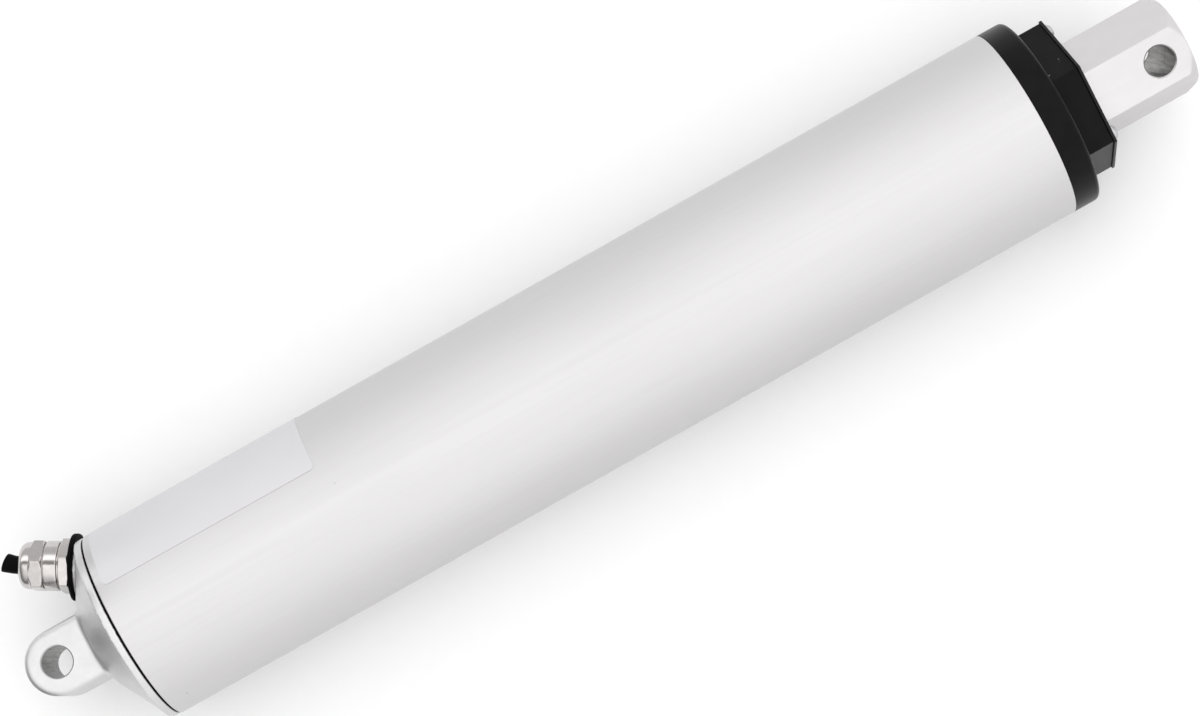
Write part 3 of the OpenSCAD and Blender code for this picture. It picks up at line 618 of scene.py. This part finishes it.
def skin(field, low, high, step):
    """Points and quads of the surface where a field is zero, by surface nets."""
    axes = [np.arange(a, b + step, step) for a, b in zip(low, high)]
    values = field(np.stack(np.meshgrid(*axes, indexing="ij"), -1))
    inside = values < 0
    cells = np.array(values.shape) - 1
    sums = np.zeros((*cells, 3))
    hits = np.zeros(cells)
    crossings = []
    for axis in range(3):
        first = [slice(None)] * 3
        second = [slice(None)] * 3
        first[axis], second[axis] = slice(0, -1), slice(1, None)
        first, second = tuple(first), tuple(second)
        place = np.argwhere(inside[first] != inside[second])
        others = [a for a in range(3) if a != axis]
        keep = np.all((place[:, others] > 0) & (place[:, others] < cells[others]), axis=1)
        place = place[keep]
        index = tuple(place.T)
        a, b = values[first][index], values[second][index]
        point = place.astype(float)
        point[:, axis] += a / (a - b)
        around = []
        for step_u, step_v in ((-1, -1), (0, -1), (0, 0), (-1, 0)):
            cell = place.copy()
            cell[:, others[0]] += step_u
            cell[:, others[1]] += step_v
            np.add.at(sums, tuple(cell.T), point)
            np.add.at(hits, tuple(cell.T), 1)
            around.append(np.ravel_multi_index(tuple(cell.T), tuple(cells)))
        crossings.append(np.stack(around, 1))
    used = np.flatnonzero(hits)
    number = np.full(hits.size, -1)
    number[used] = np.arange(len(used))
    points = sums.reshape(-1, 3)[used] / hits.reshape(-1)[used][:, None] * step + np.array(low)
    quads = number[np.concatenate(crossings)]

    # pull every point onto the surface, along the field's slope
    reach = 0.02
    least_slope = 0.5
    passes = 3
    for _ in range(passes):
        value = field(points)
        slope = np.stack([(field(points + reach * side) - field(points - reach * side)) / (2 * reach)
                          for side in np.eye(3)], 1)
        steep = np.maximum((slope ** 2).sum(1), least_slope ** 2)
        points -= slope * np.clip(value / steep, -step / 2, step / 2)[:, None]
    return points, quads


def pin_hole(name, x, half_thickness, place):
    """Cutter for a bevelled cross hole, along the local axis of its frame."""
    reach = half_thickness + 3
    mouth_r = eye_r + eye_bevel
    reach_r = mouth_r + 2.6
    rows = [(-reach, 0), (-reach, reach_r), (-half_thickness, mouth_r),
            (eye_bevel - half_thickness, eye_r), (half_thickness - eye_bevel, eye_r),
            (half_thickness, mouth_r), (reach, reach_r), (reach, 0)]
    return loft(name, rows, round_angles(96), place @ Matrix.Translation((x, 0, 0)))


def line_hole(piece, x, turn, wall):
    """Gives the wall of a cross hole a material of its own, darkened with painted shade."""
    piece.data.materials.append(wall)
    level = Matrix.Rotation(-turn, 3, "X")
    for polygon in piece.data.polygons:
        middle = level @ polygon.center / MM
        if math.hypot(middle.x - x, middle.y) < eye_r + eye_bevel / 4:
            polygon.material_index = 1
    return piece


def rear_cap():
    margin = 1.5
    step = 0.44
    points, quads = skin(cap_field, (-lug_r - margin, -tube_r - margin, -tube_r - margin),
                         (cap_end_x + margin, tube_r + margin, tube_r + margin), step)
    cap = mesh_object("rear_cap_casting", points, quads)
    combine(cap, pin_hole("pin_cutter", 0, lug_half_t, Matrix.Identity(4)), "DIFFERENCE")
    finish_piece(cap, "housing", "cast_aluminium", "rear_cap", sharp=40)
    return line_hole(cap, 0, 0, rear_hole_shaded_wall)


# ---------- tube, gasket and label ----------

def tube():
    edge = 0.3
    made = turned("anodised_tube_shell", [
        (tube_x, bore_r, edge), (tube_x, tube_r, edge), (tube_end_x, tube_r, edge),
        (tube_end_x, bore_r, edge)], ALONG_X, 256)
    return finish_piece(made, "housing", "anodised_tube", "outer_tube")


def gasket():
    bulge = 0.22
    made = turned("rear_gasket_ring", [
        (gasket_x, spigot_r, 0), (gasket_x, gasket_r, bulge), (tube_x, gasket_r, bulge),
        (tube_x, spigot_r, 0)], ALONG_X, 192)
    return finish_piece(made, "housing", "black_rubber", "rear_gasket")


def label():
    """A blank foil with rounded corners, wrapped on the tube."""
    low_z, high_z = span("rating_label", Z)
    start, end = math.acos(high_z / label_r), math.acos(low_z / label_r)
    corner_r = 1.6
    corner = corner_r / label_r
    angles = np.concatenate([
        start + corner * (1 - np.cos(np.linspace(0, math.pi / 2, 7))),
        np.linspace(start + corner, end - corner, 74)[1:-1],
        end - corner * (1 - np.cos(np.linspace(math.pi / 2, 0, 7)))])
    from_edge = np.minimum(angles - start, end - angles)
    inset = (corner - np.sqrt(np.maximum(corner ** 2 - np.maximum(corner - from_edge, 0) ** 2, 0)))
    inset *= label_r
    points, faces = [], []
    for angle, cut in zip(angles, inset):
        spoke = np.array((0, math.sin(angle), math.cos(angle)))
        for radius in (tube_r + 0.005, label_r):
            for x in (label_x + cut, label_end_x - cut):
                points.append(spoke * radius + np.array((x, 0, 0)))
    for i in range(len(angles) - 1):
        a, b = 4 * i, 4 * i + 4
        faces += [(a, a + 1, b + 1, b), (a + 2, b + 2, b + 3, a + 3),
                  (a, b, b + 2, a + 2), (a + 1, a + 3, b + 3, b + 1)]
    last = 4 * len(angles) - 4
    faces += [(0, 2, 3, 1), (last, last + 1, last + 3, last + 2)]
    made = mesh_object("blank_rating_label", points, faces)
    return finish_piece(made, "housing", "label_foil", "rating_label")


# ---------- cable gland ----------

gland_bore_r = 3.05
shank_l = 6
shank_r = 5.9
flange_apothem = 8
flange_at = math.radians(14 + 30)   # where the first flat of the body's hexagon faces
flange_end = washer_t + 3.5
waist_r = 7.2                       # groove between the hexagon and the collar
collar_start = flange_end + 0.5
collar_end = 10.7
collar_step = 0.45                  # the collar stops this far short of the nut
collar_r = 8.1
neck_r = 6.8
neck_end = 15
seal_r = 5
seal_start = 8
nut_apothem = 15.3 / 2
nut_at = math.radians(6 + 30)       # where the first flat of the nut faces
nut_bore_r = neck_r + 0.05
nut_mouth_r = 3.2
dome_end = 19.2
hexagon_edge = 0.55                 # height of the turned bevels on both hexagons


def gland_washer():
    """An oversize rubber washer, squeezed a little unevenly."""
    made = turned("gland_rubber_washer", [
        (0, gland_hole_r, 0.2), (0, washer_r, 0.7), (washer_t, washer_r, 0.7),
        (washer_t, gland_hole_r, 0.2)], Matrix.Identity(4), 120)
    for vertex in made.data.vertices:
        x, y, z = vertex.co / MM
        angle = math.atan2(y, x)
        rim = max(math.hypot(x, y) - gland_hole_r, 0) / (washer_r - gland_hole_r)
        swell = 1 + 0.022 * rim * math.sin(3 * angle + 0.6) + 0.012 * rim * math.sin(7 * angle)
        lift = -0.28 * rim ** 2 * (0.5 + 0.5 * math.sin(2 * angle + 2.2)) * (z > washer_t / 2)
        vertex.co = Vector((x * swell, y * swell, z + lift)) * MM
    made.data.transform(Matrix.Scale(MM, 4) @ GLAND @ Matrix.Scale(1 / MM, 4))
    return finish_piece(made, "housing", "black_rubber", "gland_washer")


def hexagon_rows(outline, angles, flat_at, apothem, corner_r, blend):
    """Rows of an outline (z, radius) trimmed to a hexagon."""
    limit = hexagon_radius(angles, flat_at, apothem, corner_r)
    return [(z, smooth_min(np.full(angles.shape, float(r)), limit, blend) if r > 0 else 0.0)
            for z, r in outline]


def dense(outline, longest=0.5):
    """The same closed outline, with points no further apart than longest."""
    points = []
    for i, here in enumerate(outline):
        there = outline[(i + 1) % len(outline)]
        parts = max(1, math.ceil(math.dist(here, there) / longest))
        points += [tuple(np.array(here) + (np.array(there) - np.array(here)) * k / parts)
                   for k in range(parts)]
    return points


def gland_body():
    corner = hexagon_corner(flange_apothem)
    flange_top = flange_end - hexagon_edge
    collar_top = collar_end - collar_step
    outline = rounded([
        (-shank_l, gland_bore_r, 0.1), (-shank_l, shank_r, 0.4), (washer_t, shank_r, 0),
        (washer_t, 8.1, 0.15), (washer_t + hexagon_edge, corner, 0.2), (flange_top, corner, 0.2),
        (flange_end, 8.0, 0.15), (flange_end, waist_r, 0.1), (collar_start, waist_r, 0.1),
        (collar_start, collar_r, 0.3), (collar_top, collar_r, 0.3), (collar_top, neck_r, 0),
        (neck_end, neck_r, 0.2), (neck_end, seal_r, 0.1), (seal_start, seal_r, 0),
        (seal_start, gland_bore_r, 0)])
    angles = hexagon_angles(flange_at, 10, 8)
    rows = hexagon_rows(dense(outline), angles, flange_at, flange_apothem, 0.3, 0.12)
    return finish_piece(loft("gland_threaded_body", rows, angles, GLAND),
                        "housing", "nickel_plate", "gland_body", sharp=50)


def gland_nut():
    """A hexagon that runs out into a round dome with the cable's mouth in it."""
    corner = hexagon_corner(nut_apothem)
    outline = rounded([
        (collar_end, nut_bore_r, 0), (collar_end, corner - 0.9, 0.2),
        (collar_end + hexagon_edge, corner, 0.2),
        (dome_end - 5.1, corner + 0.05, 0.3), (dome_end - 4.2, nut_apothem + 0.1, 0.5),
        (dome_end - 1.1, 7.5, 2.6), (dome_end, 4.4, 1.2), (dome_end, nut_mouth_r, 0.2),
        (dome_end - 1.3, nut_mouth_r, 0), (neck_end + 0.6, nut_bore_r, 0)], 6)
    angles = hexagon_angles(nut_at, 10, 8)
    rows = hexagon_rows(dense(outline, 0.35), angles, nut_at, nut_apothem, 0.3, 0.12)
    return finish_piece(loft("gland_dome_nut", rows, angles, GLAND),
                        "housing", "nickel_plate", "gland_nut", sharp=50)


def cable():
    """The cable's jacket: straight in the gland, then a slight bend to its slanted cut end."""
    cable_r = 2.9
    start, straight_end, tail = -9.0, dome_end - 0.8, 6.0
    bend = math.radians(11.5)
    bend_l = 4.0
    straight_rings, tail_rings = 30, 21
    path = [(0.0, z, 0.0) for z in np.linspace(start, straight_end, straight_rings)]
    run = tail / tail_rings
    for s in np.linspace(0, tail, tail_rings + 1)[1:]:
        lean = bend * min(s / bend_l, 1)
        y, z, _ = path[-1]
        path.append((y + run * math.sin(lean), z + run * math.cos(lean), lean))
    angles = round_angles(64)
    points, faces = [], []
    cut_slant = math.tan(math.radians(8))
    cut_flare = 0.08
    cut_rings = 14                      # the slant and the flare grow over the last rings
    rings = len(path)
    for i, (y, z, lean) in enumerate(path):
        near_end = max(0, (i - rings + 1 + cut_rings) / cut_rings)
        radius = cable_r * (1 + cut_flare * near_end)
        for angle in angles:
            across, side = radius * math.sin(angle), radius * math.cos(angle)
            along = -cut_slant * across * near_end
            points.append((side, y + across * math.cos(lean) + along * math.sin(lean),
                           z - across * math.sin(lean) + along * math.cos(lean)))
    around = len(angles)
    for i in range(rings - 1):
        for j in range(around):
            k = (j + 1) % around
            faces.append((i * around + j, i * around + k, (i + 1) * around + k, (i + 1) * around + j))
    faces.append(tuple(range(around)))
    faces.append(tuple((rings - 1) * around + j for j in reversed(range(around))))
    made = mesh_object("cable_stub_jacket", points, faces, GLAND)
    bevel = made.modifiers.new("cut_edge", "BEVEL")
    bevel.width = 0.25 * MM
    bevel.segments = 3
    bevel.limit_method = "ANGLE"
    bevel.angle_limit = math.radians(50)
    return finish_piece(made, "housing", "cable_sheath", "cable_jacket")


# ---------- front end ----------

ring_l = 9
nose_x = tube_end_x + ring_l
nose_apothem = 46.3 / 2
plate_apothem = nose_apothem + 0.55
guide_r = 20.4
screw_mid_r = 22.8
screw_r = 1.5
screw_l = 7
head_r = 2.5
head_l = 1.8
head_rim_l = 0.75               # height of the head's straight rim
rod_apothem = 15
rod_eye_depth = 10.5            # from the rod's end to the middle of its cross hole
rod_bevel_l = 3.5
rod_face_r = 14.9
rod_bore_r = 8
rod_bore_l = 50                 # the bore for the screw stops this far short of the cross hole
nut_r = 11.5


def screw_places():
    """Frames of the three cover screws, with +Z along the stroke."""
    for k in range(3):
        yield (Matrix.Rotation(front_turn + k * TURN / 3, 4, "X")
               @ Matrix.Translation((0, screw_mid_r, 0)) @ ALONG_X)


def screw_holes(piece, low, high):
    for place in screw_places():
        corners = [(low, 0, 0), (low, screw_r, 0), (high, screw_r, 0), (high, 0, 0)]
        cutter = turned("screw_cutter", corners, place, 40)
        combine(piece, cutter, "DIFFERENCE")


def front_cap():
    angles = hexagon_angles(0, 16, 10)
    limit = hexagon_radius(angles, 0, nose_apothem, 0.5)
    edge = 1.6
    groove_front_x = spigot_x + 5
    round_part = rounded([
        (nose_x, guide_r, 0), (spigot_x, guide_r, 0.3), (spigot_x, spigot_r, 0.5),
        (groove_front_x, spigot_r, 0), (groove_front_x, spigot_r - groove_depth, 0.2),
        (groove_front_x + groove_l, spigot_r - groove_depth, 0.2),
        (groove_front_x + groove_l, spigot_r, 0),
        (tube_end_x, spigot_r, 0), (tube_end_x, tube_r, 0.25), (nose_x, tube_r, edge),
        (nose_x, nose_apothem + 5, 0)], 6)
    rows = [(x, r) for x, r in round_part[1:]]
    foot, top = 0.5, 0.35
    arc = np.linspace(0, math.pi / 2, 5)
    rows += [(nose_x + foot * (1 - math.cos(t)), limit + foot * (1 - math.sin(t))) for t in arc]
    rows += [(nose_end_x - top * (1 - math.sin(t)), limit - top * (1 - math.cos(t))) for t in arc]
    rows.append((nose_end_x, guide_r + 0.2))
    rows.append((nose_end_x - 0.2, guide_r))
    made = loft("front_cap_moulding", rows, angles, FRONT)
    screw_holes(made, nose_end_x - screw_l, nose_end_x + 2)
    return finish_piece(made, "housing", "black_nylon", "front_cap")


def cover_plate():
    angles = hexagon_angles(0, 16, 10)
    outer = hexagon_radius(angles, 0, plate_apothem, 0.6)
    inner = hexagon_radius(angles, 0, rod_apothem + 0.5, 0.4)
    edge = 0.22
    along = edge * (1 - np.sin(np.linspace(0, math.pi / 2, 5)))
    across = edge * (1 - np.cos(np.linspace(0, math.pi / 2, 5)))
    rows = [(plate_x + a, outer - b) for a, b in zip(along[::-1], across[::-1])]
    rows += [(plate_end_x - a, outer - b) for a, b in zip(along, across)]
    rows += [(plate_end_x - a, inner + b) for a, b in zip(along[::-1], across[::-1])]
    rows += [(plate_x + a, inner + b) for a, b in zip(along, across)]
    made = loft("nose_cover_plate", rows, angles, FRONT)
    screw_holes(made, plate_x - 1, plate_end_x + 1)
    return finish_piece(made, "housing", "black_plate", "cover_plate")


def cover_screws():
    """Pan heads with cross recesses and threaded shanks."""
    tip_x = plate_x - screw_l
    rim_x = plate_end_x + head_rim_l
    top_x = plate_end_x + head_l
    pitch = 0.5
    thread_x = tip_x + 0.3
    thread = []
    for k in range(int((screw_l + pitch) / pitch)):
        thread += [(thread_x + k * pitch, screw_r - 0.32, 0),
                   (thread_x + (k + 0.5) * pitch, screw_r - 0.02, 0)]
    corners = [(tip_x, 0, 0), (tip_x, screw_r - 0.5, 0), *thread,
               (plate_end_x, screw_r - 0.1, 0), (plate_end_x, head_r, 0.15), (rim_x, head_r, 0.5),
               (top_x, 0.62 * head_r, 1.1), (top_x, 0, 0)]
    recess = [(rim_x, 0.0), (rim_x, 0.9), (top_x + 1, 1.6), (top_x + 1, 0.0)]
    half_arm = 0.28
    recess_turn = 0.5
    arm_angles = np.array([half_arm, math.pi - half_arm, math.pi + half_arm, -half_arm])
    heads = []
    for place in screw_places():
        screw = turned("cover_screw", corners, place, 56, 5)
        for k in range(2):
            arm = loft("recess", recess, arm_angles + k * math.pi / 2 + recess_turn, place)
            combine(screw, arm, "DIFFERENCE")
        heads.append(screw)
    for other in heads[1:]:
        combine(heads[0], other, "UNION")
    heads[0].name = "cover_screw_set"
    return finish_piece(heads[0], "housing", "zinc_steel", "cover_screws")


def rod():
    """Hexagon bar with a turned end, its cross hole and the bore for the screw."""
    angles = hexagon_angles(0, 14, 8)
    eye_x = rod_end_x - rod_eye_depth
    corner_r = 0.4
    limit = hexagon_radius(angles, 0, rod_apothem, corner_r)
    corner = hexagon_corner(rod_apothem)
    outside = corner + 0.5              # the turned outline stays clear of the corners till its bevel
    bevel_start = rod_bevel_l * (outside - rod_face_r) / (corner - rod_face_r)
    outline = rounded([
        (rod_x, nut_r, 0.3), (rod_x, outside, 0), (rod_end_x - bevel_start, outside, 0.8),
        (rod_end_x, rod_face_r, 0.7), (rod_end_x, 0, 0), (eye_x - rod_bore_l, 0, 0),
        (eye_x - rod_bore_l, rod_bore_r, 0.5), (drive_nut_end_x, rod_bore_r, 0),
        (drive_nut_end_x, nut_r, 0)], 10)
    tip = rod_end_x - 8
    plain_step = 6                      # rows of the plain lengths stand this far apart
    rows = []
    for z, r in dense(outline, 0.3):
        plain_length = tip > z > rod_x + 1 or r < 11
        same_radius = rows and abs(rows[-1][2] - r) < 1e-6
        if plain_length and same_radius and abs(rows[-1][0] - z) < plain_step:
            continue
        shape = smooth_min(np.full(angles.shape, float(r)), limit, 0.35) if r > 11 else r
        rows.append((z, shape, r))
    made = loft("rod_hexagon", [(z, shape) for z, shape, _ in rows], angles, FRONT)
    cutter = pin_hole("eye_cutter", eye_x, rod_apothem, Matrix.Rotation(front_turn, 4, "X"))
    combine(made, cutter, "DIFFERENCE")
    finish_piece(made, "rod_unit", "rod_aluminium", "rod")
    return line_hole(made, eye_x, front_turn, rod_hole_shaded_wall)


def lead_screw():
    """The screw: its drive hexagon, journal, shoulder, trapezoidal thread and plain tip."""
    start_x, end_x = span("lead_screw", X)
    journal_x = start_x + 7
    shoulder_x = span("bearing_inner_rings", X)[1]
    thread_x = shoulder_x + 4
    tip_x = span("screw_end_bush", X)[0]
    drive_apothem = 5
    journal_r = 6
    shoulder_r = 8.3
    thread_r = 7
    tip_r = 5
    pitch = 3
    depth = 1.4
    flank = 0.14                        # part of the pitch that each flank takes
    edge = 0.3
    angles = hexagon_angles(0, 4, 3)
    drive = hexagon_radius(angles, 0, drive_apothem, 0.3)
    rows = [(start_x, 0.0), (start_x, drive - edge), (start_x + edge, drive), (journal_x - 1, drive),
            (journal_x - 1, journal_r - 1.0), (journal_x, journal_r), (shoulder_x, journal_r),
            (shoulder_x, shoulder_r - edge), (shoulder_x + edge, shoulder_r),
            (thread_x - edge, shoulder_r), (thread_x, shoulder_r - edge), (thread_x, thread_r - depth)]
    for x in np.arange(thread_x, tip_x - edge, pitch / 10):
        turn = (x / pitch - angles / TURN) % 1
        groove = np.clip((0.25 - np.abs(turn - 0.5)) / flank + 0.5, 0, 1)
        run_out = np.clip((x - thread_x) / pitch, 0, 1)
        rows.append((x, thread_r - depth * np.maximum(groove, 1 - run_out)))
    rows += [(tip_x, thread_r - depth), (tip_x, tip_r), (end_x - edge, tip_r), (end_x, tip_r - edge),
             (end_x, 0.0)]
    made = loft("lead_screw_thread", rows, angles, ALONG_X)
    return finish_piece(made, "screw", "steel", "lead_screw")


# ---------- camera, floor and light ----------

def camera():
    """Stands where it sees the whole object lying across the picture, seen from above."""
    lens = bpy.data.cameras.new("camera")
    lens.lens = 90.4
    lens.sensor_width = 36
    lens.clip_start = 0.05
    lean_y, lean_x, spin = (math.radians(angle) for angle in (-0.181, 7.1, -29.313))
    seen_from = (Matrix.Rotation(lean_y, 4, "Y") @ Matrix.Rotation(lean_x, 4, "X")
                 @ Matrix.Rotation(spin, 4, "Z"))
    aim = Vector((0.19839, 0.00129, 0))
    distance = 0.9729
    made = bpy.data.objects.new("camera", lens)
    made.matrix_world = Matrix.Translation(aim) @ seen_from @ Matrix.Translation((0, 0, distance))
    bpy.context.scene.collection.objects.link(made)
    bpy.context.scene.camera = made


def soft_light(name, place, aim, width, height, radiance):
    """A rectangular soft box; its power follows from its size and brightness."""
    lamp = bpy.data.lights.new(name, "AREA")
    lamp.shape = "RECTANGLE"
    lamp.size = width
    lamp.size_y = height
    lamp.energy = radiance * math.pi * width * height
    made = bpy.data.objects.new(name, lamp)
    made.location = place
    made.rotation_euler = (Vector(aim) - Vector(place)).to_track_quat("-Z", "Y").to_euler()
    bpy.context.scene.collection.objects.link(made)
    return made


def light_dome():
    """A soft white dome, brighter overhead, with one dim end behind the rear cap."""
    world = bpy.data.worlds.new("studio")
    world.use_nodes = True
    nodes, links = world.node_tree.nodes, world.node_tree.links
    direction = nodes.new("ShaderNodeTexCoord").outputs["Generated"]
    tilt = math.radians(10)
    overhead = Vector((0, -math.sin(tilt), math.cos(tilt)))
    dim_end = Vector((-1, 0, 0))
    stretches = ((overhead, 0, 1, 1.18, 1.62), (dim_end, 0.45, 0.88, 1.0, 0.25))
    brightness = []
    for towards, start, end, low, high in stretches:
        turned_to = nodes.new("ShaderNodeVectorMath")
        turned_to.operation = "DOT_PRODUCT"
        turned_to.inputs[1].default_value = towards
        links.new(direction, turned_to.inputs[0])
        part = nodes.new("ShaderNodeMapRange")
        for name, number in (("From Min", start), ("From Max", end), ("To Min", low), ("To Max", high)):
            part.inputs[name].default_value = number
        links.new(turned_to.outputs["Value"], part.inputs["Value"])
        brightness.append(part.outputs["Result"])
    product = nodes.new("ShaderNodeMath")
    product.operation = "MULTIPLY"
    for source, target in zip(brightness, product.inputs):
        links.new(source, target)
    sky = nodes["Background"]
    sky.inputs["Color"].default_value = (1, 1, 1, 1)
    links.new(product.outputs["Value"], sky.inputs["Strength"])
    bpy.context.scene.world = world


def gland_cards():
    """Curved grey and white cards round the gland, seen only as reflections in its nickel."""
    distance = 60
    card_l = 115
    first_z = 6
    strips = 8
    # each card's middle and half width in degrees round the gland, and its radiance
    cards = ((68, 20, 0.72), (33, 8, 2.1), (10, 9, 0.3), (-90, 12, 0.28))
    for number, (middle, half_width, radiance) in enumerate(cards):
        spread = np.radians(np.linspace(middle - half_width, middle + half_width, strips + 1))
        points = [GLAND @ Vector((distance * math.cos(a), distance * math.sin(a), z)) * MM
                  for a in spread for z in (first_z, first_z + card_l)]
        mesh = bpy.data.meshes.new(f"card_{number}")
        mesh.from_pydata(points, [], [(2 * i, 2 * i + 1, 2 * i + 3, 2 * i + 2) for i in range(strips)])
        paint = bpy.data.materials.new(f"card_{number}")
        paint.use_nodes = True
        glow = paint.node_tree.nodes.new("ShaderNodeEmission")
        glow.inputs["Strength"].default_value = radiance
        paint.node_tree.links.new(glow.outputs["Emission"],
                                  paint.node_tree.nodes["Material Output"].inputs["Surface"])
        mesh.materials.append(paint)
        card = bpy.data.objects.new(f"card_{number}", mesh)
        bpy.context.scene.collection.objects.link(card)
        card.visible_camera = False
        card.visible_diffuse = False
        card.visible_shadow = False
        card.visible_transmission = False


def studio():
    """A pale floor that the object lies on, the dome, the cards and one soft box overhead."""
    floor_z = cad_low.z
    half = 4
    corners = [(-half, -half, floor_z), (half, -half, floor_z),
               (half, half, floor_z), (-half, half, floor_z)]
    mesh = bpy.data.meshes.new("floor")
    mesh.from_pydata(corners, [], [(0, 1, 2, 3)])
    floor = bpy.data.objects.new("floor", mesh)
    bpy.context.scene.collection.objects.link(floor)
    paper = plain("floor", (0.84, 0.84, 0.84), 0.8, 2, 0.01, tone=0.004, polish=0.02)
    mesh.materials.append(paper.material)

    light_dome()
    gland_cards()
    middle = (cad_low + cad_high) / 2
    lamp_height = 1.5
    soft_light("top_light", (middle.x, middle.y, lamp_height), middle, 1.2, 0.8, 0.095)
    bpy.context.scene.view_settings.view_transform = "Standard"


camera()
rear_cap()
tube()
gasket()
label()
gland_washer()
gland_body()
gland_nut()
cable()
front_cap()
cover_plate()
cover_screws()
rod()
lead_screw()
studio()
